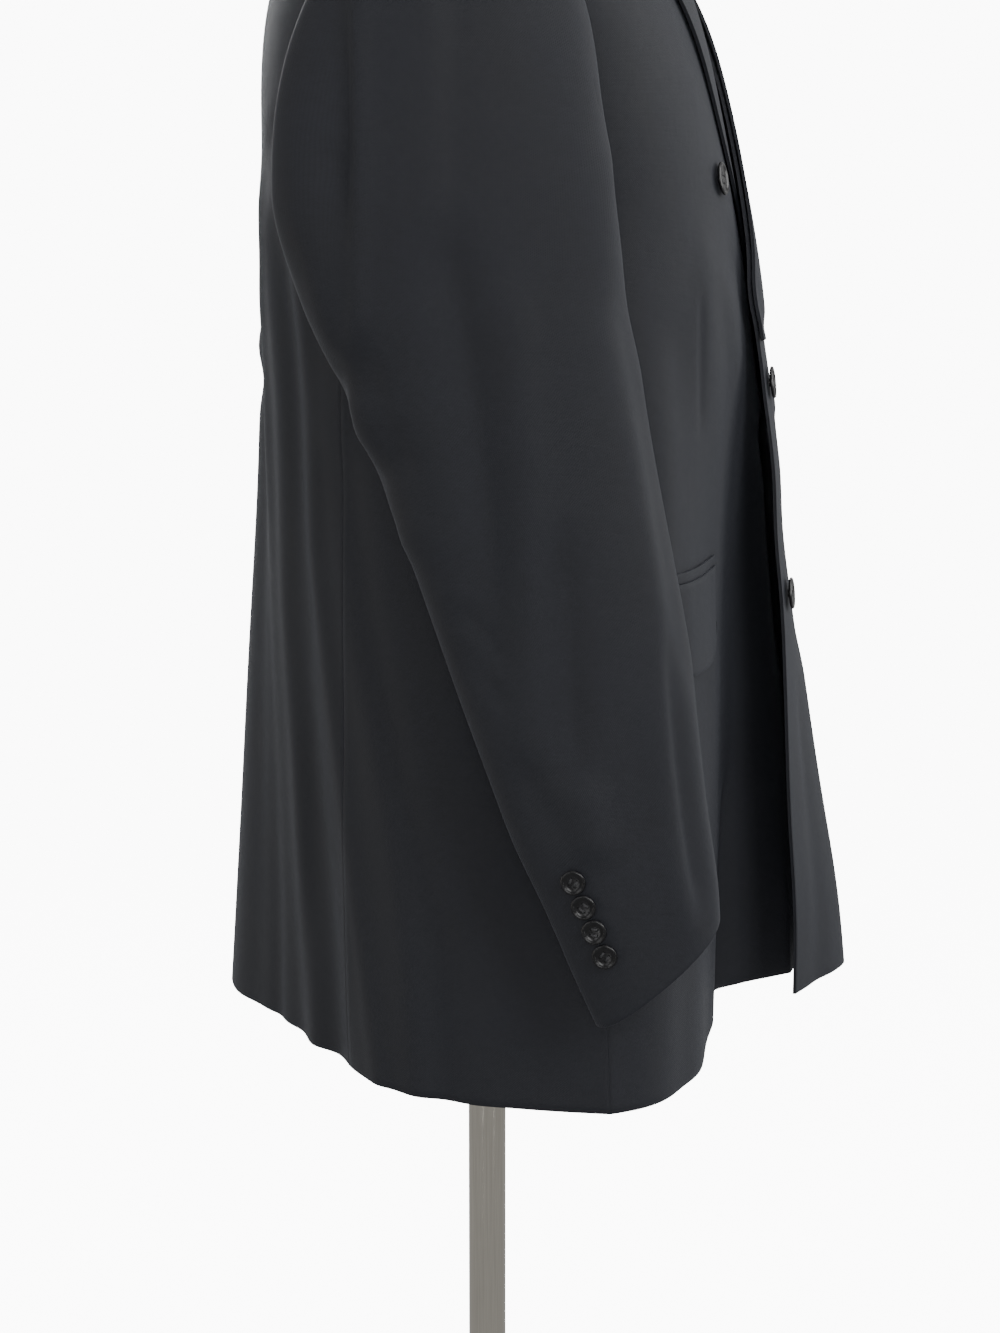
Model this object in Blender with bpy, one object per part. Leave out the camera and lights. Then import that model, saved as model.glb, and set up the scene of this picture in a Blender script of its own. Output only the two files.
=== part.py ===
"""Double-breasted suit jacket worn by a limbless dress form on a round steel stand.

The jacket is modelled as the pieces it is sewn from, each a thin wall of cloth. Body pieces share
one surface, given by horizontal sections and drape folds, so that neighbours meet at their seams.

Sizes in the tables are millimetres. Heights are measured up from the hem, `reach` or `wide` is the
distance from the middle plane towards one side, and `ahead` is the distance in front of the pole.
In the world X points to the wearer's left, the front faces -Y and the floor is Z = 0.
"""

import math
from collections import namedtuple

import bmesh
import bpy
from mathutils import Vector
from mathutils.bvhtree import BVHTree

MM = 0.001

# Driving dimensions, in millimetres
CLOTH = 2.0                 # wall of every cloth piece
SEAM_GAP = 0.3              # clearance between neighbouring pieces
ARM_GAP = 1.3               # clearance between a sleeve and its armhole
HEM_HEIGHT = 730.0          # hem above the floor
UNDERARM = 500.0            # underarm above the hem
NECK_HALF = 78.0            # half width of the neck opening at the shoulder seam
NECK_TOP = 758.0            # shoulder seam at the neck
SHOULDER_HALF = 222.0       # half width across the shoulder points
SHOULDER_TOP = 700.0        # shoulder point above the hem
NAPE_DROP = 14.0            # how far the back neckline dips below the neck points
CAP_START = 600.0           # height where the chest begins to round over to the shoulder seam
SEAM_AHEAD = -12.0          # shoulder seam, in front of (+) or behind (-) the pole
BACK_SEAM = 62.0            # seam angles round the body, 0 at centre back and 180 at centre front
FRONT_SEAM = 108.0
ARMHOLE_DIP = 12.0
OVERLAP = 78.0              # how far each front passes the centre front
UNDERLAP_SHORT = 5.0        # the front underneath ends this far above the one that laps over
BREAK = 430.0               # height where the lapels begin to roll
BUTTON_SIZE = 20.0
CUFF_BUTTON_SIZE = 14.6
POLE_SIZE = 25.0
BASE_SIZE = 340.0
BASE_THICK = 12.0
BASE_HUB = 40.0
SOCKET_LONG = 60.0

RIGHT = -1
LEFT = 1


class Table:
    """Rows under named columns, read between the rows along a smooth monotone curve."""

    def __init__(self, columns, rows):
        self.names = columns.split()
        self.rows = [namedtuple("Row", self.names)(*row) for row in rows]
        self.keys = [row[0] for row in self.rows]
        self.curves = {name: self.slopes(name) for name in self.names[1:]}

    def slopes(self, name):
        values = [getattr(row, name) for row in self.rows]
        steps = [b - a for a, b in zip(self.keys, self.keys[1:])]
        rates = [(b - a) / step for a, b, step in zip(values, values[1:], steps)]
        middle = [0.0 if a * b <= 0 else 2 * a * b / (a + b) for a, b in zip(rates, rates[1:])]
        return values, [rates[0]] + middle + [rates[-1]]

    def at(self, name, key):
        values, slopes = self.curves[name]
        keys = self.keys
        if key <= keys[0]:
            return values[0]
        if key >= keys[-1]:
            return values[-1]
        row = 0
        while keys[row + 1] < key:
            row += 1
        step = keys[row + 1] - keys[row]
        t = (key - keys[row]) / step
        rest = 1 - t
        start = rest * rest * ((1 + 2 * t) * values[row] + t * step * slopes[row])
        end = t * t * ((1 + 2 * rest) * values[row + 1] - rest * step * slopes[row + 1])
        return start + end


# Horizontal sections of the body: half widths of its back and front halves, depths behind and in
# front of the pole, the extra depth of the front that laps over, and the section's squareness.
BODY = Table("height wide_back wide_front back front over square_back square_front", [
    (0, 216, 216, 171, 205, 34, 2.0, 2.3),
    (65, 211, 211, 166.5, 203, 29, 2.0, 2.3),
    (130, 206, 206, 162, 198, 21.5, 2.05, 2.3),
    (200, 201, 201, 157.5, 191.5, 16, 2.1, 2.35),
    (265, 196, 196, 153, 184, 13, 2.2, 2.4),
    (325, 191, 191, 148.5, 178.5, 9, 2.25, 2.45),
    (365, 188, 188, 146.5, 175.5, 12, 2.3, 2.5),
    (405, 186, 186, 144.5, 171.5, 7.5, 2.3, 2.5),
    (450, 184, 184, 142, 166, 7.2, 2.35, 2.5),
    (500, 183, 183, 140, 158, 7.2, 2.4, 2.5),
    (560, 205, 193, 139, 145.5, 7.2, 2.5, 2.5),
    (620, 222, 204, 138.5, 132, 7, 2.5, 2.5),
    (680, 238, 224, 134, 118, 5, 2.5, 2.5),
    (760, 252, 244, 126, 102, 5, 2.5, 2.5),
])

# Height of the hem round the body
HEM = Table("angle height", [
    (0, 5), (60, 0), (100, -6), (125, -4), (150, 10), (172, 19), (205, 20),
])

# Drape folds: angle at the hem and where the fold dies out, half spread, depth at the hem
# (inwards is negative), the height where it dies out and how quickly it grows below that.
Fold = namedtuple("Fold", "angle top_angle spread depth top growth")
RIGHT_FOLDS = (
    Fold(44, 40, 46, -37, 440, 1.0),
    Fold(49, 24, 7, 7, 500, 0.6),
    Fold(67, 36, 8, 5, 500, 0.6),
    Fold(110, 122, 17, 20, 430, 0.4),
    Fold(144, 146, 24, -44, 430, 0.5),
    Fold(159, 160, 13, -42, 390, 0.8),
)
LEFT_FOLDS = (
    Fold(40, 38, 42, -31, 450, 1.0),
    Fold(46, 26, 8, 8, 500, 0.6),
    Fold(72, 44, 9, 6, 470, 0.7),
    Fold(112, 118, 18, 17, 420, 0.5),
    Fold(145, 142, 20, -40, 410, 0.7),
)
TURN_BACK = Fold(203, 203, 24, -30, 290, 1.1)

# The free edge of each front: how far it has passed the centre front, and above the underarm how
# far, with the share of the way up to the shoulder. Negative is on the front's own side.
EDGE = Table("height past", [(0, OVERLAP), (BREAK, OVERLAP), (470, 72), (UNDERARM, 63)])
ROLL = Table("rise past", [
    (0, 63), (0.15, 44), (0.35, 14), (0.55, -18), (0.75, -50), (0.9, -71), (1, -NECK_HALF),
])

# Share of the way from the side seams out to the shoulder point along the armhole
ARMHOLE = Table("rise back front", [
    (0, 0, 0), (0.2, 0.33, 0.21), (0.4, 0.50, 0.33), (0.6, 0.60, 0.40), (0.8, 0.75, 0.60), (1, 1, 1),
])

# Outer edge of a lapel: reach to its own side at each height, and its top edge by share of width
LAPEL_EDGE = Table("height reach", [
    (432, -68), (460, -26), (500, 30), (553, 69), (600, 92), (637, 110), (670, 132), (702, 154),
])
LAPEL_TOP = Table("share height", [(0, 722), (0.28, 703), (0.54, 682), (0.77, 692), (1, 702)])

# Sleeve below the armhole: rear and front edges seen from the side, and the inner and outer sides
SLEEVE = Table("row rear rear_height front front_height inner outer drop", [
    (0, -108, 482, 79, 474, 187, 258, 0),
    (1, -94, 448, 84, 448, 188, 257, 0),
    (2, -78, 416, 88, 424, 189, 256, 0),
    (3, -60, 370, 94, 388, 191, 256, 0),
    (4, -42, 325, 101, 350, 194, 256, 0),
    (5, -17, 250, 116, 275, 202, 259, 0),
    (6, 2, 200, 122, 230, 208, 262, 1),
    (7, 17, 158, 126, 195, 213, 264, 3),
    (8, 34, 126, 130, 166, 217, 266, 5),
    (9, 47, 94, 134, 142, 221, 268, 7),
    (10, 63, 60, 135, 122, 225, 269, 9),
])
SLEEVE_SQUARE = 2.4
SLEEVE_ROWS = SLEEVE.keys[-1]
SLEEVE_PUSH = 36.0          # how far the back of the sleeve head stands out behind the armhole
FRONT_SLEEVE_SEAM = 0.19    # places round the sleeve, from 0 at the underarm by way of the front
BACK_SLEEVE_SEAM = 0.78

# Hip pocket: ends as angles round the body, top edge, depth and rounded corners
FLAP = namedtuple("Flap", "back_angle wide top deep corner lift stand_off")(
    102, 146, 303, 55, 18, 0.6, 2.0)
JET = namedtuple("Jet", "gap deep wall")(0.4, 6.0, 1.2)
WELT = namedtuple("Welt", "inner outer height rise deep")(88, 172, 548, 9, 24)

# Front buttons, in two columns. The lower rows fasten through the overlap.
ButtonRow = namedtuple("ButtonRow", "name reach height on_overlap")
BUTTON_ROWS = (
    ButtonRow("top", 95, 534, False),
    ButtonRow("middle", 61, 409, True),
    ButtonRow("lower", 61, 277, True),
)
BUTTON_LIFT = 0.3
CUFF = namedtuple("Cuff", "count low_ahead low_height step_ahead step_height")(4, 68.5, 104, -6.0, 14.2)

# Collar: the line of its outer edge, from the front tips over the shoulder seam to the centre back
COLLAR_TIP = (113.0, 705.0)         # reach and height
COLLAR_SHOULDER = 106.0             # reach of the outer edge at the shoulder seam
COLLAR_BACK = 727.0                 # height of the outer edge at the centre back
GORGE_GAP = 3.0             # the collar's front ends lie this far above the lapels
COLLAR_LIFT = 2.8                   # middle of the collar's wall over the body at its outer edge
STAND = Table("share height", [(0, 4.5), (0.2, 9), (0.45, 20), (0.7, 27), (1, 29)])
STAND_LEAN = 4.0                    # the stand leans this far in towards the neck

# Dress form: half width, depth behind and depth in front of the pole
FORM = Table("height wide back front", [
    (130, 128, 100, 100), (240, 146, 118, 116), (330, 142, 112, 112), (410, 128, 100, 104),
    (500, 148, 114, 116), (600, 166, 120, 116), (680, 186, 118, 104), (760, 196, 112, 92),
])
FORM_BOTTOM = 112.0
NECK_MIDDLE = -14.0
NECK_SIZE = 60.0            # radius of the form's neck, and at its foot
NECK_FOOT = 63.0
FORM_TOP = 748.0
NECK_TALL = 46.0
FORM_TUCK = 0.62            # size of the form's flat underside, as a share of its waist
FORM_RIDGE = 0.04           # share of the depth left at the top of the shoulders
FORM_REST = CLOTH + 1.2     # the jacket's shoulders lie this far above the form, wall included


def blend(start, end, share):
    return start + (end - start) * share


def smooth_step(start, end, value):
    share = min(max((value - start) / (end - start), 0.0), 1.0)
    return share * share * (3 - 2 * share)


def spaced(count, start=0.0, end=1.0):
    return [start + (end - start) * step / (count - 1) for step in range(count)]


# ---------------------------------------------------------------------------- body surface

def fold_depth(fold, angle, height):
    if height >= fold.top:
        return 0.0
    fallen = (fold.top - height) / fold.top
    middle = blend(fold.top_angle, fold.angle, fallen)
    away = abs(angle - middle) / fold.spread
    if away >= 1:
        return 0.0
    return fold.depth * fallen ** fold.growth * math.cos(away * math.pi / 2) ** 2


def radius(angle, height, side, over):
    """Distance of the cloth's outer face from the pole, at an angle from the centre back."""
    half = "back" if angle < 90 else "front"
    turn = math.radians(angle)
    depth = BODY.at(half, height)
    square = BODY.at("square_" + half, height)
    if over:
        depth += BODY.at("over", height) * smooth_step(118, 166, angle)
    deep = abs(math.cos(turn)) / depth
    wide = abs(math.sin(turn)) / BODY.at("wide_" + half, height)
    result = (deep ** square + wide ** square) ** (-1 / square)
    own = RIGHT_FOLDS if side == RIGHT else LEFT_FOLDS
    other = LEFT_FOLDS if side == RIGHT else RIGHT_FOLDS
    if angle <= 180:
        folds = own
    else:
        folds = () if over else other
    result += sum(fold_depth(fold, angle if angle <= 180 else 360 - angle, height) for fold in folds)
    if over:
        result += fold_depth(TURN_BACK, angle, height)
    return result


def ring_point(angle, height, side, over=False):
    reach = radius(angle, height, side, over)
    turn = math.radians(angle)
    return Vector((reach * math.sin(turn), -reach * math.cos(turn), height))


def edge_angle(past, height, side, over):
    """Angle at which a front has passed the centre front by a given distance."""
    angle = 180.0
    for _ in range(4):
        angle = 180 + math.degrees(math.asin(past / radius(angle, height, side, over)))
    return angle


def shoulder_height(reach):
    slope = (NECK_TOP - SHOULDER_TOP) / (SHOULDER_HALF - NECK_HALF)
    return NECK_TOP - slope * (abs(reach) - NECK_HALF)


def upper_point(half, reach, height, over=False):
    """A point of the back or the front above the underarm."""
    wide = BODY.at("wide_" + half, height)
    depth = BODY.at(half, height)
    if over:
        depth += BODY.at("over", height)
    square = BODY.at("square_" + half, height)
    full = depth * max(1 - (abs(reach) / wide) ** square, 0.0) ** (1 / square)
    signed = -full if half == "back" else full
    rise = (height - CAP_START) / (shoulder_height(reach) - CAP_START)
    rise = min(max(rise, 0.0), 1.0)
    closing = math.sqrt(1 - rise * rise)
    return Vector((reach, blend(SEAM_AHEAD, signed, closing), height))


def back_point(side):
    def point(across, up):
        angle = BACK_SEAM * across
        if up <= 1:
            hem = HEM.at("height", angle)
            return ring_point(angle, blend(hem, UNDERARM, up), side)
        rise = up - 1
        seam = ring_point(BACK_SEAM, UNDERARM, side).x
        edge = blend(seam, SHOULDER_HALF, ARMHOLE.at("back", rise))
        reach = ring_point(angle, UNDERARM, side).x * edge / seam
        if reach < NECK_HALF:
            top = NECK_TOP - NAPE_DROP * (1 - (reach / NECK_HALF) ** 2)
        else:
            top = shoulder_height(reach)
        return upper_point("back", reach, blend(UNDERARM, top, rise))
    return point


def side_point(side):
    def point(across, up):
        angle = blend(BACK_SEAM, FRONT_SEAM, across)
        hem = HEM.at("height", angle)
        top = UNDERARM - ARMHOLE_DIP * math.sin(math.pi * across)
        return ring_point(angle, blend(hem, top, up), side)
    return point


def front_point(side, over):
    def point(across, up):
        if up <= 1:
            hem = HEM.at("height", blend(FRONT_SEAM, 190, across))
            if not over:
                hem += UNDERLAP_SHORT * smooth_step(0.3, 0.6, across)
            height = blend(hem, UNDERARM, up)
            end = edge_angle(EDGE.at("past", height), height, side, over)
            return ring_point(blend(FRONT_SEAM, end, across), height, side, over)
        rise = up - 1
        seam = ring_point(FRONT_SEAM, UNDERARM, side, over).x
        start = ROLL.at("past", 0)
        end = edge_angle(start, UNDERARM, side, over)
        low = ring_point(blend(FRONT_SEAM, end, across), UNDERARM, side, over).x
        share = (low + start) / (seam + start)
        edge = blend(seam, SHOULDER_HALF, ARMHOLE.at("front", rise))
        reach = blend(-ROLL.at("past", rise), edge, share)
        top = shoulder_height(reach) if reach > NECK_HALF else NECK_TOP
        lap = over and smooth_step(SHOULDER_HALF, 120, abs(reach)) > 0
        height = blend(UNDERARM, top, rise)
        inner = upper_point("front", reach, height)
        if not lap:
            return inner
        outer = upper_point("front", reach, height, True)
        return inner.lerp(outer, smooth_step(178, 96, abs(reach)))
    return point


# ---------------------------------------------------------------------------- meshes

def to_world(point, side):
    return Vector((side * point.x, -point.y, point.z + HEM_HEIGHT)) * MM


def finish(name, mesh_data, material, smooth_angle=40):
    bmesh.ops.recalc_face_normals(mesh_data, faces=mesh_data.faces)
    if mesh_data.calc_volume(signed=True) < 0:
        bmesh.ops.reverse_faces(mesh_data, faces=mesh_data.faces)
    mesh = bpy.data.meshes.new(name)
    mesh_data.to_mesh(mesh)
    mesh_data.free()
    mesh.materials.append(material)
    mesh.shade_smooth()
    mesh.set_sharp_from_angle(angle=math.radians(smooth_angle))
    result = bpy.data.objects.new(name, mesh)
    bpy.context.scene.collection.objects.link(result)
    return result


def normal_at(point, across, up, outward):
    step = 0.004
    along = point(across + step, up) - point(across - step, up)
    if up > 1.98:
        step = 0.0004
    climb = point(across, min(up + step, 2.0)) - point(across, up - step)
    normal = along.cross(climb).normalized()
    return normal if normal.dot(outward) > 0 else -normal


def away_from_pole(point):
    return Vector((point.x, point.y, max(point.z - 640.0, 0.0) * 1.5))


def drawn_in(point, across, up, way, inset):
    """Moves a place along a panel, `way` in its two parameters, by a distance on the cloth."""
    spot = point(across, up)
    share = 0.01
    for _ in range(12):
        moved = (point(across + way[0] * share, up + way[1] * share) - spot).length
        share *= inset / max(moved, inset * 0.01)
    return across + way[0] * share, up + way[1] * share


def inwards(number, count):
    """Direction away from the edge for the first and the last of a row of places."""
    if number == 0:
        return 1
    return -1 if number == count - 1 else 0


def grid(point, columns, rows, outward=away_from_pole, wall=CLOTH, inset=SEAM_GAP / 2):
    """Outer and inner points of a wall, drawn in from its edges by half a seam gap."""
    outer = []
    inner = []
    for row, level in enumerate(rows):
        outer_row = []
        inner_row = []
        for column, place in enumerate(columns):
            across, up = place, level
            sideways = inwards(column, len(columns))
            upwards = inwards(row, len(rows))
            if sideways and inset:
                across, up = drawn_in(point, across, up, (sideways, 0), inset)
            if upwards and inset:
                across, up = drawn_in(point, across, up, (0, upwards), inset)
            spot = point(across, up)
            normal = normal_at(point, across, up, outward(spot))
            outer_row.append(spot)
            inner_row.append(spot - normal * wall)
        outer.append(outer_row)
        inner.append(inner_row)
    return outer, inner


def close_grid(mesh_data, layers, side, round_ends=False):
    """Joins two sheets of points into one closed wall. Round walls have no seam along them."""
    faces = []
    for layer in layers:
        faces.append([[mesh_data.verts.new(to_world(p, side)) for p in row] for row in layer])
    outer, inner = faces
    rows = len(outer)
    columns = len(outer[0])
    last = columns if round_ends else columns - 1
    for row in range(rows - 1):
        for column in range(last):
            nxt = (column + 1) % columns
            corners = (row, column), (row, nxt), (row + 1, nxt), (row + 1, column)
            mesh_data.faces.new([outer[r][c] for r, c in corners])
            mesh_data.faces.new([inner[r][c] for r, c in reversed(corners)])
    for column in range(last):
        nxt = (column + 1) % columns
        for row in (0, rows - 1):
            mesh_data.faces.new([outer[row][column], outer[row][nxt], inner[row][nxt], inner[row][column]])
    if not round_ends:
        for row in range(rows - 1):
            for column in (0, columns - 1):
                mesh_data.faces.new([outer[row][column], outer[row + 1][column],
                                     inner[row + 1][column], inner[row][column]])


def wall(name, point, columns, rows, side, material, **options):
    mesh_data = bmesh.new()
    close_grid(mesh_data, grid(point, columns, rows, **options), side)
    return finish(name, mesh_data, material)


def shoulder_rows(low, middle, top):
    """Rows of a panel from hem to shoulder, closer together where the shoulder rounds over."""
    rows = spaced(low, 0.0, 1.0)
    start = (CAP_START - UNDERARM) / (NECK_TOP - UNDERARM)
    rows += spaced(middle, 1.0, 1.0 + start)[1:]
    for step in range(1, top + 1):
        rows.append(1 + start + (1 - start) * math.sin(step / top * math.pi / 2))
    return rows


def turned(name, profile, sides, material, smooth_angle=40):
    """A solid turned about its own Z axis from (radius, height) pairs, bottom to top."""
    mesh_data = bmesh.new()
    rings = []
    for reach, height in profile:
        turns = [2 * math.pi * step / sides for step in range(sides)]
        rings.append([mesh_data.verts.new((reach * MM * math.cos(t), reach * MM * math.sin(t), height * MM))
                      for t in turns])
    for low, high in zip(rings, rings[1:]):
        for step in range(sides):
            nxt = (step + 1) % sides
            mesh_data.faces.new((low[step], low[nxt], high[nxt], high[step]))
    mesh_data.faces.new(rings[0])
    mesh_data.faces.new(rings[-1])
    return finish(name, mesh_data, material, smooth_angle)


def material(name, colour, roughness, metallic=0.0):
    result = bpy.data.materials.new(name)
    result.use_nodes = True
    shader = result.node_tree.nodes["Principled BSDF"]
    shader.inputs["Base Color"].default_value = (*colour, 1.0)
    shader.inputs["Roughness"].default_value = roughness
    shader.inputs["Metallic"].default_value = metallic
    return result


# ---------------------------------------------------------------------------- jacket body

# Rows of points below the underarm, up to where the shoulder rounds over, and over the shoulder
BACK_ROWS = (13, 4, 6)
FRONT_ROWS = (14, 4, 6)
SIDE_ROWS = 13
SIDE_COLUMNS = spaced(7)
FRONT_COLUMNS = spaced(18)


class Facets:
    """A panel below the underarm as it is built, flat between its own points."""

    def __init__(self, point, columns, rows):
        self.columns = columns
        self.rows = rows
        self.points = [[point(across, up) for across in columns] for up in rows]

    @staticmethod
    def place(values, value):
        index = 0
        while index < len(values) - 2 and values[index + 1] < value:
            index += 1
        return index, (value - values[index]) / (values[index + 1] - values[index])

    def at(self, across, up):
        column, x = self.place(self.columns, across)
        row, y = self.place(self.rows, up)
        low = self.points[row][column].lerp(self.points[row][column + 1], x)
        high = self.points[row + 1][column].lerp(self.points[row + 1][column + 1], x)
        spot = low.lerp(high, y)
        across_way = self.points[row][column + 1] - self.points[row][column]
        climb = self.points[row + 1][column] - self.points[row][column]
        normal = across_way.cross(climb).normalized()
        return spot, (normal if normal.dot(Vector((spot.x, spot.y, 0))) > 0 else -normal)


def add_back(side, tag, cloth):
    neck = NECK_HALF / SHOULDER_HALF
    low, high = 0.0, 1.0
    for _ in range(20):
        middle = (low + high) / 2
        if back_point(side)(middle, 2.0).x < SHOULDER_HALF * neck:
            low = middle
        else:
            high = middle
    columns = spaced(5, 0.0, low) + spaced(7, low, 1.0)[1:]
    wall("back_" + tag, back_point(side), columns, shoulder_rows(*BACK_ROWS), side, cloth)


def add_side_body(side, tag, cloth):
    wall("side_body_" + tag, side_point(side), SIDE_COLUMNS, spaced(SIDE_ROWS), side, cloth)


def add_front(side, tag, over, cloth):
    rows = shoulder_rows(*FRONT_ROWS)
    return wall("front_" + tag, front_point(side, over), FRONT_COLUMNS, rows, side, cloth)


# ---------------------------------------------------------------------------- lapels and collar

LAPEL_LIFT = 1.1            # clearance of a lapel over its front
LAPEL_BULGE = 3.0           # extra lift half way across, above the crossing of the fronts
LAPEL_START = 6.0           # a lapel begins this far above the break


def roll_reach(height):
    if height <= UNDERARM:
        return -EDGE.at("past", height)
    return -ROLL.at("past", (height - UNDERARM) / (NECK_TOP - UNDERARM))


def front_surface(side, over, reach, height):
    """The front's outer face at a reach from the middle, positive on the front's own side."""
    if height > UNDERARM:
        inner = upper_point("front", reach, height)
        if not over:
            return inner
        outer = upper_point("front", reach, height, True)
        return inner.lerp(outer, smooth_step(178, 96, abs(reach)))
    low, high = 90.0, 230.0
    for _ in range(24):
        angle = (low + high) / 2
        if ring_point(angle, height, side, over).x > reach:
            low = angle
        else:
            high = angle
    return ring_point(angle, height, side, over)


def surface_normal(side, over, reach, height):
    step = 1.0
    across = front_surface(side, over, reach + step, height) - front_surface(side, over, reach - step, height)
    climb = front_surface(side, over, reach, height + step) - front_surface(side, over, reach, height - step)
    normal = across.cross(climb).normalized()
    return normal if normal.y > 0 else -normal


def lapel_point(side, over):
    def point(across, up):
        share = max(across, 0.0)
        top = LAPEL_TOP.at("height", share)
        height = blend(BREAK + LAPEL_START, top, up)
        roll = roll_reach(height)
        reach = blend(roll, LAPEL_EDGE.at("reach", height), share)
        spot = front_surface(side, over, reach, height)
        normal = surface_normal(side, over, reach, height)
        puff = LAPEL_BULGE * math.sin(math.pi * share) * smooth_step(612, 690, height)
        spot = spot + normal * (LAPEL_LIFT + CLOTH + puff)
        return spot
    return point


def add_lapel(side, tag, over, cloth):
    columns = spaced(8)
    wall("lapel_" + tag, lapel_point(side, over), columns, spaced(13), side, cloth,
         outward=lambda spot: Vector((0, 1, 0.2)))


# ---------------------------------------------------------------------------- sleeves

def armhole_loop(side, over):
    """The armhole from the underarm forwards, over the shoulder and down the back."""
    under = side_point(side)
    front = front_point(side, over)
    back = back_point(side)
    steps = spaced(25)
    points = [under(share, 1.0) for share in spaced(8, 0.5, 1.0)]
    points += [front(0.0, 1 + rise) for rise in steps[1:]]
    top = len(points) - 1
    points += [back(1.0, 2 - rise) for rise in steps[1:]]
    points += [under(share, 1.0) for share in spaced(8, 0.0, 0.5)[1:]]
    return points, top


def along(points, share):
    lengths = [0.0]
    for a, b in zip(points, points[1:]):
        lengths.append(lengths[-1] + (b - a).length)
    goal = share * lengths[-1]
    place = 0
    while place < len(points) - 2 and lengths[place + 1] < goal:
        place += 1
    step = lengths[place + 1] - lengths[place]
    return points[place].lerp(points[place + 1], (goal - lengths[place]) / step)


def sleeve_ring(round_share, row):
    """A point of the sleeve's lower part, `row` rows below the underarm."""
    turn = 2 * math.pi * round_share
    ahead = math.sin(turn)
    out = -math.cos(turn)
    size = (abs(ahead) ** SLEEVE_SQUARE + abs(out) ** SLEEVE_SQUARE) ** (-1 / SLEEVE_SQUARE)
    ahead *= size
    out *= size
    rear, front = SLEEVE.at("rear", row), SLEEVE.at("front", row)
    rear_height, front_height = SLEEVE.at("rear_height", row), SLEEVE.at("front_height", row)
    inner, outer = SLEEVE.at("inner", row), SLEEVE.at("outer", row)
    share = (ahead + 1) / 2
    return Vector((blend(inner, outer, (out + 1) / 2),
                   blend(rear, front, share),
                   blend(rear_height, front_height, share) - SLEEVE.at("drop", row) * out))


class Sleeve:
    """Points of one sleeve, round from the underarm and down from the armhole (0) to the cuff."""

    def __init__(self, side, over):
        points, top = armhole_loop(side, over)
        self.front = points[:top + 1]
        self.back = points[top:]
        low = sum(points, Vector()) / len(points)
        self.middle = Vector((low.x, low.y, (UNDERARM + SHOULDER_TOP) / 2))

    def start(self, place):
        place = place % 1.0
        spot = along(self.front, place * 2) if place <= 0.5 else along(self.back, place * 2 - 1)
        ray = Vector((0, spot.y - self.middle.y, spot.z - self.middle.z)).normalized()
        return spot + Vector((ARM_GAP, 0, 0)) - ray * (SEAM_GAP + 0.1)

    def point(self, place, down):
        if down > 1:
            return sleeve_ring(place, (down - 1) * SLEEVE_ROWS)
        first = self.start(place)
        last = sleeve_ring(place, 0)
        turn = 2 * math.pi * place
        rear = max(-math.sin(turn), 0.0)
        upper = (1 - math.cos(turn)) / 2
        push = SLEEVE_PUSH * rear ** 0.4 * (0.1 + 0.9 * upper)
        bend = Vector((last.x + 3 * upper, blend(last.y, first.y, 0.25) - push,
                       first.z + 3 + 2 * upper))
        return (first * (1 - down) ** 2 + bend * 2 * down * (1 - down) + last * down ** 2)

    def outward(self, spot):
        if spot.z > UNDERARM - 30:
            middle = Vector((spot.x, self.middle.y, min(spot.z, self.middle.z)))
            if spot.x > 225:
                middle.x = 215
            return spot - middle
        return spot - sleeve_axis(spot.z)


def sleeve_axis(height):
    row = 0.0
    while row < SLEEVE_ROWS:
        middle = (sleeve_ring(0.25, row) + sleeve_ring(0.75, row)) / 2
        if middle.z <= height:
            return middle
        row += 0.25
    return middle


def sleeve_wall(name, sleeve, start, end, columns, side, cloth):
    rows = spaced(6) + spaced(14, 1.0, 2.0)[1:]
    places = spaced(columns, start, end)
    outer = []
    inner = []
    for row, down in enumerate(rows):
        outer_row = []
        inner_row = []
        for place in places:
            step = 0.004
            if place in (places[0], places[-1]):
                away = step if place == places[0] else -step
                length = (sleeve.point(place + away, down) - sleeve.point(place, down)).length
                place += away * SEAM_GAP / length
            spot = sleeve.point(place, down)
            round_way = sleeve.point(place + step, down) - sleeve.point(place - step, down)
            low = min(down + step, 2.0)
            high = max(down - step, 0.0)
            fall = sleeve.point(place, low) - sleeve.point(place, high)
            normal = round_way.cross(fall).normalized()
            if row == 0:
                ray = Vector((0, spot.y - sleeve.middle.y, spot.z - sleeve.middle.z)).normalized()
                normal = ray
            outer_row.append(spot)
            inner_row.append(spot - normal * CLOTH)
        outer.append(outer_row)
        inner.append(inner_row)
    mesh_data = bmesh.new()
    close_grid(mesh_data, (outer, inner), side)
    return finish(name, mesh_data, cloth)


def add_sleeve(side, tag, over, cloth):
    sleeve = Sleeve(side, over)
    upper = sleeve_wall("upper_sleeve_" + tag, sleeve, FRONT_SLEEVE_SEAM, BACK_SLEEVE_SEAM, 16, side, cloth)
    sleeve_wall("under_sleeve_" + tag, sleeve, BACK_SLEEVE_SEAM, 1 + FRONT_SLEEVE_SEAM, 11, side, cloth)
    return sleeve, upper


# ---------------------------------------------------------------------------- pockets

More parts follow.
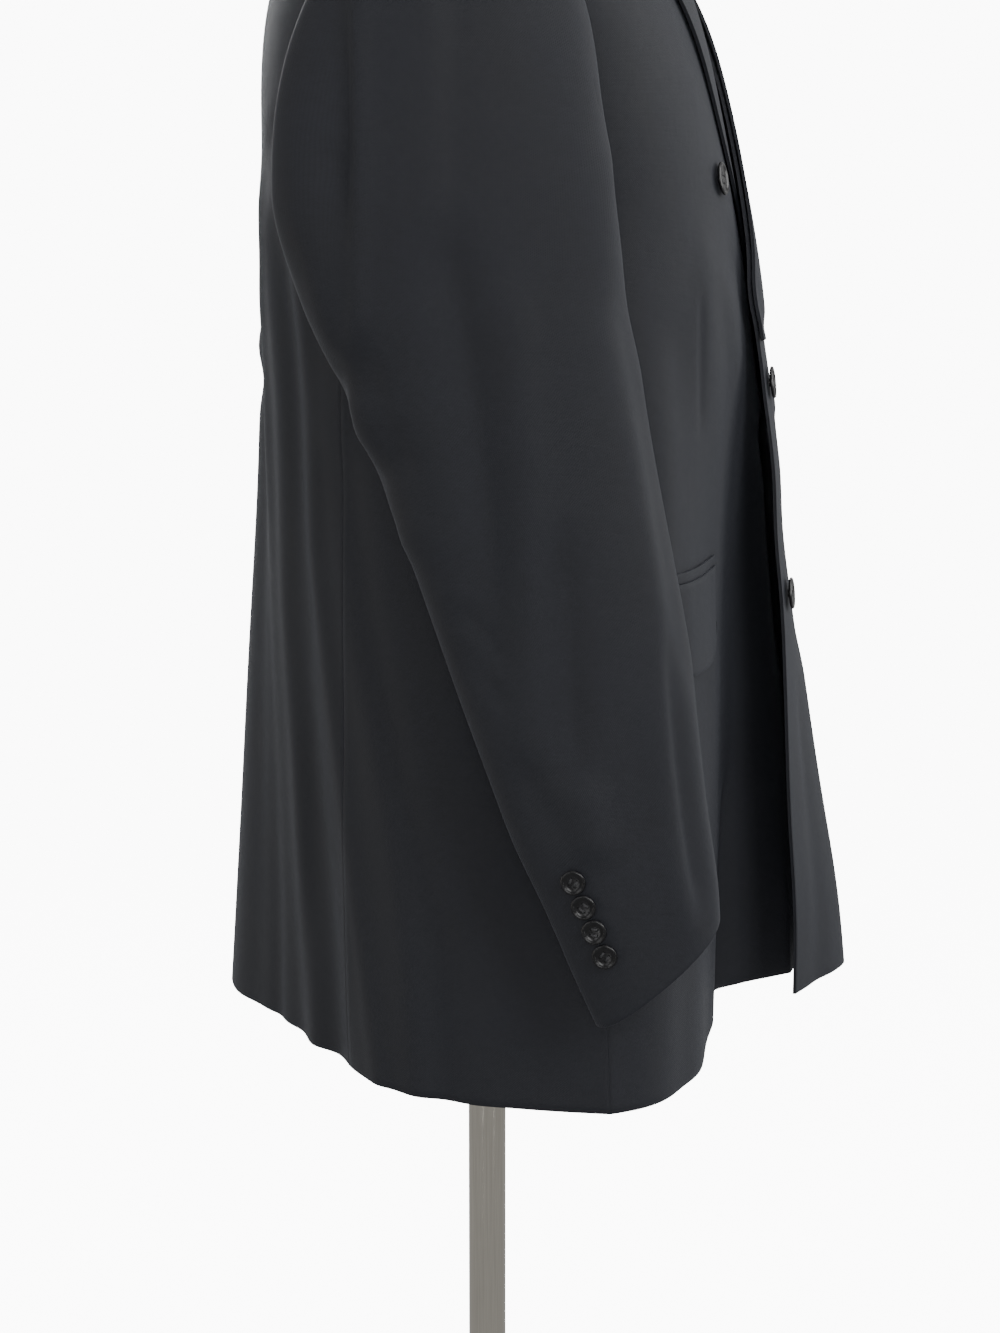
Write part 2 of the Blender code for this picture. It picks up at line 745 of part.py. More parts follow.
def hip_places(side, over):
    """Places along a hip pocket from its back end: (panel, across, distance from the back end)."""
    side_panel = Facets(side_point(side), SIDE_COLUMNS, spaced(SIDE_ROWS))
    front_rows = spaced(FRONT_ROWS[0])
    front_panel = Facets(front_point(side, over), FRONT_COLUMNS, front_rows)
    back_share = (FLAP.back_angle - BACK_SEAM) / (FRONT_SEAM - BACK_SEAM)
    level = FLAP.top / UNDERARM
    places = []
    for share in (back_share, 1.0):
        places.append((side_panel, share))
    share = 0.0
    start = side_panel.at(back_share, level)[0]
    width = (side_panel.at(1.0, level)[0] - start).length
    lengths = [0.0, width]
    while width < FLAP.wide - 1:
        before = front_panel.at(share, level)[0]
        share += FRONT_COLUMNS[1] / 2
        after = front_panel.at(share, level)[0]
        step = (after - before).length
        if width + step > FLAP.wide:
            share -= FRONT_COLUMNS[1] / 2 * (1 - (FLAP.wide - width) / step)
            step = FLAP.wide - width
        width += step
        places.append((front_panel, share))
        lengths.append(width)
    return rounded_ends(places, lengths)


def rounded_ends(places, lengths):
    """Adds the places that the rounded corners need near both ends."""
    extra = [FLAP.corner * share for share in (0.08, 0.3, 0.6, 1.0)]
    extra += [lengths[-1] - way for way in reversed(extra)]
    full = []
    for (panel, share), length in zip(places, lengths):
        full.append((length, panel, share))
    for way in extra:
        index = max(i for i, length in enumerate(lengths[:-1]) if length < way)
        part = (way - lengths[index]) / (lengths[index + 1] - lengths[index])
        panel, end = places[index + 1]
        start = places[index][1] if places[index][0] is panel else 0.0
        full.append((way, panel, blend(start, end, part)))
    return sorted(full, key=lambda item: item[0])


def hip_wall(name, places, heights, lift, thick, side, cloth):
    """A strip of cloth over the panels, its points theirs, moved out by `lift` at each row."""
    outer = []
    inner = []
    rows = len(heights(0.0))
    for row in range(rows):
        outer_row = []
        inner_row = []
        for length, panel, share in places:
            height = heights(length)[row]
            spot, normal = panel.at(share, height / UNDERARM)
            outer_row.append(spot + normal * (lift(row) + thick))
            inner_row.append(spot + normal * lift(row))
        outer.append(outer_row)
        inner.append(inner_row)
    mesh_data = bmesh.new()
    close_grid(mesh_data, (outer, inner), side)
    finish(name, mesh_data, cloth)


def add_hip_pocket(side, tag, over, cloth):
    places = hip_places(side, over)
    panel_row = UNDERARM * 7 / (FRONT_ROWS[0] - 1)

    def flap_heights(length):
        end = min(length, FLAP.wide - length)
        away = max(FLAP.corner - max(end, 0.0), 0.0)
        rise = FLAP.corner - math.sqrt(max(FLAP.corner ** 2 - away ** 2, 0.0))
        return FLAP.top - FLAP.deep + rise, max(panel_row, FLAP.top - FLAP.deep + rise + 2), FLAP.top

    def flap_lift(row):
        return FLAP.lift + FLAP.stand_off * (1 - row / 2)

    hip_wall("pocket_flap_" + tag, places, flap_heights, flap_lift, CLOTH, side, cloth)
    hip_wall("pocket_jet_" + tag, places, lambda length: (FLAP.top + JET.gap, FLAP.top + JET.gap + JET.deep),
             lambda row: FLAP.lift, JET.wall, side, cloth)


def breast_welt_point(across, up):
    reach = blend(WELT.inner, WELT.outer, across)
    height = WELT.height + WELT.rise * across + WELT.deep * up
    spot = front_surface(LEFT, True, reach, height)
    normal = surface_normal(LEFT, True, reach, height)
    return spot + normal * (LAPEL_LIFT + CLOTH)


def add_breast_pocket(cloth):
    wall("breast_pocket_welt", breast_welt_point, spaced(8), spaced(3), LEFT, cloth,
         outward=lambda spot: Vector((0.3, 1, 0)), inset=0.0)


# ---------------------------------------------------------------------------- buttons

# Half outline of a button: share of its radius, and height above the foot of its shank
BUTTON_SHANK = ((0.3, 0.0), (0.34, 1.0))
BUTTON_BACK = ((0.85, 1.2), (1.0, 2.1))
BUTTON_RIM = ((0.96, 3.3), (0.8, 3.5))
BUTTON_DISH = ((0.66, 2.8),)
BUTTON_SIDES = 12
BUTTON_REACH = 20.0         # the cloth under a button is looked for from this far above it


def button_profile(size):
    """Half profile of a rimmed button with a dished face on a short shank of thread."""
    outline = BUTTON_SHANK + BUTTON_BACK + BUTTON_RIM + BUTTON_DISH
    return [(share * size / 2, height) for share, height in outline]


def place_button(name, size, spot, normal, side, panel, horn):
    """Sews a button down on a panel, as low as its shank and its rim both stay clear of the cloth."""
    world = Vector((side * normal.x, -normal.y, normal.z))
    middle = to_world(spot, side)
    corners = [vertex.co for vertex in panel.data.vertices]
    tree = BVHTree.FromPolygons(corners, [face.vertices for face in panel.data.polygons])
    turn = Vector((0, 0, 1)).rotation_difference(world)
    heights = []
    for reach, level in BUTTON_SHANK[:1] + BUTTON_BACK:
        for step in range(BUTTON_SIDES):
            angle = 2 * math.pi * step / BUTTON_SIDES
            rim = Vector((math.cos(angle), math.sin(angle), 0)) * reach * size / 2 * MM
            start = middle + turn @ rim + world * BUTTON_REACH * MM
            hit = tree.ray_cast(start, -world)[0]
            if hit:
                heights.append((hit - middle).dot(world) / MM - level)
    item = turned(name, button_profile(size), BUTTON_SIDES, horn)
    item.location = middle + world * (max(heights) + BUTTON_LIFT) * MM
    item.rotation_mode = "QUATERNION"
    item.rotation_quaternion = turn
    return item


def overlap_spot(reach, height):
    """A point and normal of the front that laps over, its reach counted past the centre front."""
    def surface(past, level):
        angle = edge_angle(past, level, LEFT, True)
        return ring_point(angle, level, LEFT, True)
    spot = surface(reach, height)
    across = surface(reach + 1, height) - surface(reach - 1, height)
    climb = surface(reach, height + 1) - surface(reach, height - 1)
    normal = across.cross(climb).normalized()
    return spot, (normal if normal.y > 0 else -normal)


def add_front_buttons(fronts, horn):
    for row in BUTTON_ROWS:
        for side, tag in ((LEFT, "left"), (RIGHT, "right")):
            name = "button_{}_{}".format(row.name, tag)
            if side == RIGHT and row.on_overlap:
                spot, normal = overlap_spot(row.reach, row.height)
                place_button(name, BUTTON_SIZE, spot, normal, LEFT, fronts[LEFT], horn)
                continue
            over = side == LEFT
            spot = front_surface(side, over, row.reach, row.height)
            normal = surface_normal(side, over, row.reach, row.height)
            place_button(name, BUTTON_SIZE, spot, normal, side, fronts[side], horn)


def sleeve_place(sleeve, ahead, height):
    """Place round the outer side of a sleeve and way down it, where it passes a given point."""
    place, down = 0.6, 1.9
    for _ in range(30):
        low, high = 1.0, 2.0
        for _ in range(20):
            down = (low + high) / 2
            if sleeve.point(place, down).z > height:
                low = down
            else:
                high = down
        low, high = 0.5, 0.75
        for _ in range(20):
            place = (low + high) / 2
            if sleeve.point(place, down).y > ahead:
                low = place
            else:
                high = place
    return place, down


def add_cuff_buttons(sleeve, upper, side, tag, horn):
    for number in range(CUFF.count):
        ahead = CUFF.low_ahead + CUFF.step_ahead * number
        height = CUFF.low_height + CUFF.step_height * number
        place, down = sleeve_place(sleeve, ahead, height)
        spot = sleeve.point(place, down)
        step = 0.01
        round_way = sleeve.point(place + step, down) - sleeve.point(place - step, down)
        fall = sleeve.point(place, down + step) - sleeve.point(place, down - step)
        normal = fall.cross(round_way).normalized()
        if normal.dot(sleeve.outward(spot)) < 0:
            normal = -normal
        name = "cuff_button_{}_{}".format(tag, CUFF.count - number)
        place_button(name, CUFF_BUTTON_SIZE, spot, normal, side, upper, horn)


# ---------------------------------------------------------------------------- collar

COLLAR_STEPS = 6            # stations of the collar in front of the shoulder seam, on each side
COLLAR_FRONT = 0.4          # share of its half length in front of the shoulder seam
COLLAR_FALL = (0.1, 0.32, 0.55, 0.78, 1.0)      # rows of the fall, from the roll down to the edge
SEAM_TURN = 0.78            # share of the fall that follows the seam to the lapel
SEAM_END = 0.54             # share of the lapel's width where that seam ends

def shoulder_spot(side, part, reach, rise):
    """A point of the body's outer face, `rise` of the way from the chest up to the shoulder seam."""
    height = blend(CAP_START, shoulder_height(reach), rise)
    if part == "back":
        return upper_point("back", reach, height)
    return front_surface(side, side == LEFT, reach, height)


def shoulder_rise(reach, height):
    return (height - CAP_START) / (shoulder_height(reach) - CAP_START)


def shoulder_normal(side, part, reach, rise):
    step = 0.006
    across = shoulder_spot(side, part, reach + 1, rise) - shoulder_spot(side, part, reach - 1, rise)
    high = min(rise + step, 1.0)
    climb = shoulder_spot(side, part, reach, high) - shoulder_spot(side, part, reach, high - 2 * step)
    normal = across.cross(climb).normalized()
    return normal if normal.z > 0 else -normal


def collar_stations():
    """(share, part, neck reach and height, edge reach and height) from a front end to centre back."""
    gorge = LAPEL_TOP.at("height", 0) + GORGE_GAP
    stations = []
    count = COLLAR_STEPS
    for step in range(count + 1):
        way = step / count
        height = blend(gorge, NECK_TOP, way)
        edge_reach = blend(COLLAR_TIP[0], COLLAR_SHOULDER, way)
        edge_height = blend(COLLAR_TIP[1], shoulder_height(COLLAR_SHOULDER), way)
        stations.append((way * COLLAR_FRONT, "front", roll_reach(height), height, edge_reach, edge_height))
    for step in range(1, count + 2):
        way = step / (count + 1)
        turn = way * math.pi / 2
        reach = NECK_HALF * math.cos(turn)
        height = NECK_TOP - NAPE_DROP * (1 - (reach / NECK_HALF) ** 2)
        edge_reach = COLLAR_SHOULDER * math.cos(turn)
        drop = shoulder_height(COLLAR_SHOULDER) - COLLAR_BACK
        edge_height = COLLAR_BACK + drop * (1 - math.sin(turn) ** 1.5)
        stations.append((blend(COLLAR_FRONT, 1, way), "back", reach, height, edge_reach, edge_height))
    return stations


def collar_row(side, station):
    """Middle line of the collar's wall: up the stand, over the roll and down the fall.

    The numbers in the first four points are the wall's small steps in and up as it leaves the neck.
    """
    share, part, reach, height, edge_reach, edge_height = station
    rise = shoulder_rise(reach, height)
    edge_rise = shoulder_rise(edge_reach, edge_height)
    neck = shoulder_spot(side, part, reach, rise)
    normal = shoulder_normal(side, part, reach, rise)
    way_out = shoulder_spot(side, part, blend(reach, edge_reach, 0.2), blend(rise, edge_rise, 0.2)) - neck
    way_out.normalize()
    upright = normal.lerp(Vector((0, 0, 1)), smooth_step(0, 0.5, share)).normalized()
    stand = STAND.at("height", share)
    lean = STAND_LEAN * smooth_step(0.1, 0.5, share)
    flat_out = Vector((way_out.x, way_out.y, 0)).normalized()
    curl = min(stand / 8, 1.0)
    row = [neck - way_out * 1.6 + upright * 0.9,
           neck - way_out * 1.8 - flat_out * lean * 0.5 + upright * stand * 0.5,
           neck - way_out * 1.4 - flat_out * lean + upright * (stand - 2.4 * curl),
           neck + way_out * 0.8 * curl - flat_out * lean + upright * stand]
    for down in COLLAR_FALL:
        place = blend(reach, edge_reach, down)
        level = blend(rise, edge_rise, down)
        if share == 0:
            place, level = gorge_place(down, reach, edge_reach)
        spot = shoulder_spot(side, part, place, level)
        over = shoulder_normal(side, part, place, level)
        lift = (stand - COLLAR_LIFT) * (1 - down) ** 1.5
        row.append(spot + over * COLLAR_LIFT + upright * max(lift, 0.0) - flat_out * lean * (1 - down) ** 2)
    return row


def gorge_place(down, reach, edge_reach):
    """The front end of the collar follows the seam to its lapel, then turns up to the tip."""
    if down == 1.0:
        return COLLAR_TIP[0], shoulder_rise(*COLLAR_TIP)
    share = down / SEAM_TURN * SEAM_END
    height = LAPEL_TOP.at("height", share)
    roll = roll_reach(height)
    place = blend(roll, LAPEL_EDGE.at("reach", height), share)
    return place, shoulder_rise(place, height + GORGE_GAP)


def add_collar(cloth):
    stations = collar_stations()
    middle = []
    for side, order in ((RIGHT, stations), (LEFT, stations[-2::-1])):
        for station in order:
            middle.append([Vector((side * p.x, p.y, p.z)) for p in collar_row(side, station)])
    outer = []
    inner = []
    for number, row in enumerate(middle):
        before = middle[max(number - 1, 0)]
        after = middle[min(number + 1, len(middle) - 1)]
        outer_row = []
        inner_row = []
        for place, spot in enumerate(row):
            along_neck = after[place] - before[place]
            down = row[min(place + 1, len(row) - 1)] - row[max(place - 1, 0)]
            normal = along_neck.cross(down).normalized()
            outer_row.append(spot + normal * CLOTH / 2)
            inner_row.append(spot - normal * CLOTH / 2)
        outer.append(outer_row)
        inner.append(inner_row)
    mesh_data = bmesh.new()
    close_grid(mesh_data, (outer, inner), LEFT)
    finish("collar", mesh_data, cloth)


# ---------------------------------------------------------------------------- dress form and stand

def form_point(turn, level):
    """Outside of the form. Levels 0 to 1 climb to the chest, 1 to 2 round over the shoulders."""
    ahead = -math.cos(turn)
    out = math.sin(turn)
    if level <= 1:
        height = blend(FORM.keys[0], CAP_START, level)
        closing = 1.0
    else:
        height = CAP_START
        closing = math.sqrt(max(1 - (level - 1) ** 2, FORM_RIDGE ** 2))
    wide_height = height if level <= 1 else blend(CAP_START, SHOULDER_TOP, level - 1)
    wide = FORM.at("wide", wide_height)
    depth = FORM.at("front" if ahead > 0 else "back", wide_height)
    reach = wide * out
    full = depth * ahead
    if level > 1:
        top = shoulder_height(reach) - FORM_REST
        height = blend(CAP_START, top, level - 1)
        if height > FORM_TOP:
            height = FORM_TOP
            closing = math.sqrt(1 - ((FORM_TOP - CAP_START) / (top - CAP_START)) ** 2)
        full = blend(SEAM_AHEAD, full, closing)
    return Vector((reach, full, height))


def add_form(linen):
    sides = 36
    levels = spaced(10) + [1 + math.sin(step / 6 * math.pi / 2) for step in range(1, 7)]
    mesh_data = bmesh.new()
    rings = []
    for level in levels:
        turns = [2 * math.pi * step / sides for step in range(sides)]
        rings.append([mesh_data.verts.new(to_world(form_point(turn, level), LEFT)) for turn in turns])
    floor = (HEM_HEIGHT + FORM_BOTTOM) * MM
    low = [Vector((FORM_TUCK * v.co.x, FORM_TUCK * v.co.y, floor)) for v in rings[0]]
    rings.insert(0, [mesh_data.verts.new(spot) for spot in low])
    for below, above in zip(rings, rings[1:]):
        for step in range(sides):
            nxt = (step + 1) % sides
            mesh_data.faces.new((below[step], below[nxt], above[nxt], above[step]))
    mesh_data.faces.new(rings[0])
    top = rings[-1]
    quarter = sides // 4
    for step in range(sides // 2):
        behind = [top[(quarter - step - k) % sides] for k in (0, 1)]
        ahead = [top[(quarter + step + k) % sides] for k in (1, 0)]
        mesh_data.faces.new(list(dict.fromkeys(behind + ahead)))
    return finish("form_torso", mesh_data, linen)


def add_stand(linen, steel):
    """Neck stub and cap on top of the torso, socket, pole and round base below it."""
    neck = turned("form_neck", [(NECK_FOOT, 0), (NECK_SIZE, 12), (NECK_SIZE - 1, NECK_TALL - 6),
                                (NECK_SIZE - 3, NECK_TALL)], 32, linen)
    neck.location = Vector((0, -NECK_MIDDLE, HEM_HEIGHT + FORM_TOP + SEAM_GAP)) * MM
    rim = NECK_SIZE - 1
    cap = turned("neck_cap", [(rim - 2, 0), (rim, 1.5), (rim, 4.5), (rim - 2, 6), (14, 8), (12, 12), (15, 20),
                              (10, 28)], 20, steel)
    cap.location = Vector((0, -NECK_MIDDLE, HEM_HEIGHT + FORM_TOP + NECK_TALL + 2 * SEAM_GAP)) * MM
    half = POLE_SIZE / 2
    socket_low = HEM_HEIGHT + FORM_BOTTOM - SOCKET_LONG - SEAM_GAP
    socket = turned("torso_socket", [(half + 5, 0), (half + 8, 3), (half + 8, SOCKET_LONG - 5),
                                     (half + 22, SOCKET_LONG - 4), (half + 22, SOCKET_LONG)], 24, steel)
    socket.location = Vector((0, 0, socket_low)) * MM
    pole_low = BASE_THICK + BASE_HUB + SEAM_GAP
    pole = turned("pole", [(half, 0), (half, socket_low - SEAM_GAP - pole_low)], 32, steel)
    pole.location = Vector((0, 0, pole_low)) * MM
    rim = BASE_SIZE / 2
    turned("base", [(rim, 0), (rim, 5), (rim - 3, 7), (rim * 0.5, BASE_THICK - 1),
                    (half + 14, BASE_THICK), (half + 9, BASE_THICK + 5),
                    (half + 7, BASE_THICK + BASE_HUB)], 40, steel)


def build():
    for item in list(bpy.data.objects):
        bpy.data.objects.remove(item)
    cloth = material("black_wool", (0.021, 0.022, 0.026), 0.72)
    horn = material("black_horn", (0.015, 0.015, 0.017), 0.25)
    linen = material("form_cover", (0.62, 0.60, 0.56), 0.8)
    steel = material("polished_steel", (0.60, 0.58, 0.55), 0.22, 1.0)
    fronts = {}
    for side, tag, over in ((LEFT, "left", True), (RIGHT, "right", False)):
        add_back(side, tag, cloth)
        add_side_body(side, tag, cloth)
        fronts[side] = add_front(side, tag, over, cloth)
        add_lapel(side, tag, over, cloth)
        sleeve, upper = add_sleeve(side, tag, over, cloth)
        add_hip_pocket(side, tag, over, cloth)
        add_cuff_buttons(sleeve, upper, side, tag, horn)
    add_breast_pocket(cloth)
    add_front_buttons(fronts, horn)
    add_collar(cloth)
    add_form(linen)
    add_stand(linen, steel)


build()
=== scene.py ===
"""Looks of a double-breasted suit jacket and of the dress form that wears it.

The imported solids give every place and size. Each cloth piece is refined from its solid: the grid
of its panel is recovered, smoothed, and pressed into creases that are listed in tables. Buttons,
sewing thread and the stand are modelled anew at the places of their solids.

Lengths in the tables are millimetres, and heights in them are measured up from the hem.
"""

import itertools
import logging
import math
from dataclasses import dataclass, field
from enum import Enum
from typing import Optional, Sequence

import bmesh
import bpy
import numpy as np
from mathutils import Matrix, Vector
from mathutils.bvhtree import BVHTree


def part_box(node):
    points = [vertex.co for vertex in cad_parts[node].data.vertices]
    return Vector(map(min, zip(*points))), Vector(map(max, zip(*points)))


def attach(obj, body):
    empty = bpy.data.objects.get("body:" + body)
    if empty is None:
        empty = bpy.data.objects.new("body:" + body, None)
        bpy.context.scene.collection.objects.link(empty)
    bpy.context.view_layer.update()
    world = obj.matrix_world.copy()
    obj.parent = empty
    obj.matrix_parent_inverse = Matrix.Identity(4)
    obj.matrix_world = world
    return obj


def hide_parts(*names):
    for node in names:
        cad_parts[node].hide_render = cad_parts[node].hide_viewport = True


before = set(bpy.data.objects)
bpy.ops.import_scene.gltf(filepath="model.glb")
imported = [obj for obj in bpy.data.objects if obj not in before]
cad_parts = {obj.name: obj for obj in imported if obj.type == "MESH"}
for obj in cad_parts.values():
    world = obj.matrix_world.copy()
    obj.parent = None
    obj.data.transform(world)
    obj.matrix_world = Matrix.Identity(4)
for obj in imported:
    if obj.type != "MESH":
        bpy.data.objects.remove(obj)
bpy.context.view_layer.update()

LOG = logging.getLogger("suit_jacket")
MM = 0.001
HEM_HEIGHT = 730.0
ROOT = "root"
CLOTH_UV = "cloth"

CREASE_STRENGTH = 1.35
DEEPEST_TROUGH = 7.0
HIGHEST_RIDGE = 12.0
EDGE_SPREAD = 0.14 * MM
EDGE_ROUNDING = 0.12 * MM
WELD_DISTANCE = 0.01 * MM
CORNER_ANGLE = math.radians(50.0)
QUAD_ANGLES = {"angle_face_threshold": math.radians(40.0), "angle_shape_threshold": math.radians(60.0)}

Path2D = tuple[tuple[float, float], ...]
Path3D = tuple[tuple[float, float, float], ...]


class View(Enum):
    """A side from which a crease is drawn; its value points towards the viewer."""

    RIGHT = (-1.0, 0.0, 0.0)
    LEFT = (1.0, 0.0, 0.0)
    FRONT = (0.0, -1.0, 0.0)
    BACK = (0.0, 1.0, 0.0)

    @property
    def sideways(self) -> bool:
        """Whether it is the wearer's right or left."""
        return self in (View.RIGHT, View.LEFT)

    @property
    def opposite(self) -> "View":
        """This side once right and left have changed places."""
        x, y, z = self.value
        return View((-x, y, z))

    def flat(self, points: np.ndarray) -> np.ndarray:
        """Draws points on this side's plane.

        Args:
            points: rows of x, y, z in metres.

        Returns:
            Rows of (ahead or reach, height above the hem) in millimetres. Reach grows to the
            wearer's left, and ahead grows to the front.
        """
        first = -points[:, 1] if self.sideways else points[:, 0]
        return np.stack([first / MM, points[:, 2] / MM - HEM_HEIGHT], axis=1)


class Slot(Enum):
    """Material slots of the record."""

    WOOL = "black_wool"
    HORN = "black_horn"
    COVER = "form_cover"
    STEEL = "polished_steel"


class Hold(Enum):
    """Ways in which a sheet of cloth is held."""

    DRAPED = "draped"
    HUNG = "hung"
    FOLDED = "folded"


def smooth_step(low: float, high: float, values: np.ndarray) -> np.ndarray:
    """Eases values from 0 at low to 1 at high."""
    share = np.clip((values - low) / (high - low), 0.0, 1.0)
    return share * share * (3.0 - 2.0 * share)


# ---------------------------------------------------------------------------- creases


@dataclass(frozen=True)
class Crease:
    """A soft ridge or trough, drawn on the cloth as it is seen from one side.

    Attributes:
        view: the side that it is drawn from.
        path: its points on that side's plane, in millimetres.
        width: distance at which its depth has fallen to a third.
        depth: height of the ridge; a trough is negative.
        fade: length over which it dies out at both ends.
        turned_away: cloth that faces the viewer less than this, as a cosine, takes less of it.
    """

    view: View
    path: Path2D
    width: float
    depth: float
    fade: float = 45.0
    turned_away: float = 0.45

    def push(self, points: np.ndarray, outward: np.ndarray) -> np.ndarray:
        """How far each point moves outwards.

        Args:
            points: rows of x, y, z in metres.
            outward: a unit direction for each point.

        Returns:
            One distance in millimetres for each point.
        """
        seen = self.view.flat(points)
        facing = smooth_step(0.0, self.turned_away, outward @ np.array(self.view.value))
        nearest = np.full(len(seen), np.inf)
        along = np.zeros(len(seen))
        passed = 0.0
        for start, end in zip(self.path, self.path[1:]):
            a, b = np.array(start, float), np.array(end, float)
            length = float(np.linalg.norm(b - a))
            share = np.clip((seen - a) @ (b - a) / length**2, 0.0, 1.0)
            away = np.linalg.norm(seen - (a + share[:, None] * (b - a)), axis=1)
            closer = away < nearest
            nearest[closer] = away[closer]
            along[closer] = passed + share[closer] * length
            passed += length
        ends = np.minimum(along, passed - along)
        fading = smooth_step(0.0, min(self.fade, passed / 2), ends)
        return self.depth * np.exp(-((nearest / self.width) ** 2)) * fading * facing


def ridge(view: View, width: float, depth: float, *path: tuple[float, float], fade: float = 45.0) -> Crease:
    """Shorthand for a Crease whose path is given point by point."""
    return Crease(view, tuple(path), width, depth, fade)


BACK_RIGHT = (
    ridge(View.RIGHT, 6, 2.2, (-133, 540), (-128, 470), (-123, 401), (-121, 278), (-117, 194), (-106, -60)),
    ridge(View.RIGHT, 6, 1.9, (-121, 540), (-110, 465), (-104, 406), (-103, 316), (-88, 188), (-60, -40)),
    ridge(View.RIGHT, 8, -2.6, (-127, 520), (-117, 440), (-113, 330), (-109, 230), (-100, 140), (-88, -60)),
    ridge(View.RIGHT, 7, -1.8, (-143, 470), (-136, 380), (-134, 270), (-133, 160), (-134, 40), (-136, -60)),
    ridge(View.RIGHT, 9, 1.6, (-98, 440), (-88, 350), (-74, 250), (-55, 150), (-44, 40), (-40, -60)),
    ridge(View.RIGHT, 12, -2.4, (-90, 400), (-74, 290), (-52, 190), (-28, 90), (-20, -60)),
)
FRONT_RIGHT = (
    ridge(View.RIGHT, 1.6, -0.9, (126, 475), (127, 430), (128, 380), fade=20),
    ridge(View.RIGHT, 8, 2.0, (128, 520), (136, 405), (137, 309), (135, 185), (134, 42), (134, -60)),
    ridge(View.RIGHT, 8, -0.9, (160, 400), (165, 330), (168, 225), (172, 90), (176, -60)),
    ridge(View.RIGHT, 9, -1.6, (112, 470), (118, 380), (119, 260), (120, 120), (121, -60)),
    ridge(View.FRONT, 12, -1.6, (-95, 520), (-70, 460), (-30, 420)),
    ridge(View.FRONT, 10, 1.4, (-118, 500), (-96, 440), (-74, 400)),
)
FRONT_MIDDLE = (
    ridge(View.FRONT, 11, 1.6, (-52, 402), (-15, 392), (30, 396), (58, 404)),
    ridge(View.FRONT, 13, -1.8, (-50, 380), (-10, 366), (40, 372), (72, 384)),
    ridge(View.FRONT, 12, 1.7, (66, 420), (98, 446), (132, 486)),
    ridge(View.FRONT, 12, -1.9, (72, 398), (108, 418), (148, 452)),
    ridge(View.FRONT, 16, 2.2, (48, 250), (56, 160), (60, 60), (64, -60)),
    ridge(View.FRONT, 15, -2.6, (84, 262), (92, 170), (96, 70), (98, -60)),
    ridge(View.FRONT, 14, 1.8, (2, 255), (0, 170), (-6, 80), (-8, -60)),
    ridge(View.FRONT, 13, -1.8, (28, 240), (30, 150), (28, 50), (28, -60)),
    ridge(View.FRONT, 12, -1.5, (-36, 230), (-40, 130), (-46, 30), (-50, -60)),
)
BODY_LEFT = (
    ridge(View.LEFT, 6, 2.0, (-134, 550), (-126, 450), (-120, 350), (-116, 240), (-112, 120), (-106, -60)),
    ridge(View.LEFT, 8, -2.4, (-124, 520), (-114, 410), (-108, 300), (-100, 190), (-92, 70), (-88, -60)),
    ridge(View.LEFT, 7, 1.8, (-116, 520), (-104, 400), (-96, 290), (-82, 180), (-68, 70), (-60, -60)),
    ridge(View.LEFT, 10, -2.2, (-96, 430), (-78, 310), (-56, 200), (-34, 90), (-24, -60)),
    ridge(View.LEFT, 9, 1.8, (126, 520), (134, 410), (138, 300), (138, 180), (140, 50), (140, -60)),
    ridge(View.LEFT, 11, -2.4, (160, 410), (166, 320), (172, 210), (178, 80), (180, -60)),
    ridge(View.LEFT, 1.6, -0.9, (124, 478), (125, 430), (126, 380), fade=20),
)
BACK_MIDDLE = (
    ridge(View.BACK, 13, 1.9, (-62, 560), (-66, 440), (-70, 320), (-76, 200), (-82, 80), (-86, -60)),
    ridge(View.BACK, 15, -2.2, (-36, 520), (-38, 400), (-42, 270), (-46, 140), (-50, -60)),
    ridge(View.BACK, 12, 1.6, (58, 570), (64, 450), (70, 330), (74, 200), (84, 70), (88, -60)),
    ridge(View.BACK, 14, -2.0, (30, 480), (34, 360), (38, 230), (46, 100), (50, -60)),
    ridge(View.BACK, 9, -1.6, (-150, 585), (-112, 560), (-74, 548)),
    ridge(View.BACK, 9, -1.5, (146, 590), (110, 568), (70, 552)),
    ridge(View.BACK, 11, 1.4, (-158, 560), (-120, 532), (-84, 518)),
    ridge(View.BACK, 11, 1.3, (152, 560), (118, 536), (80, 524)),
    ridge(View.BACK, 10, -1.3, (-40, 705), (0, 699), (44, 706)),
    ridge(View.BACK, 12, 1.4, (-60, 436), (-10, 428), (46, 434)),
    ridge(View.BACK, 13, -1.5, (-78, 412), (-20, 404), (60, 410)),
)
BODY_CREASES = BACK_RIGHT + FRONT_RIGHT + FRONT_MIDDLE + BODY_LEFT + BACK_MIDDLE

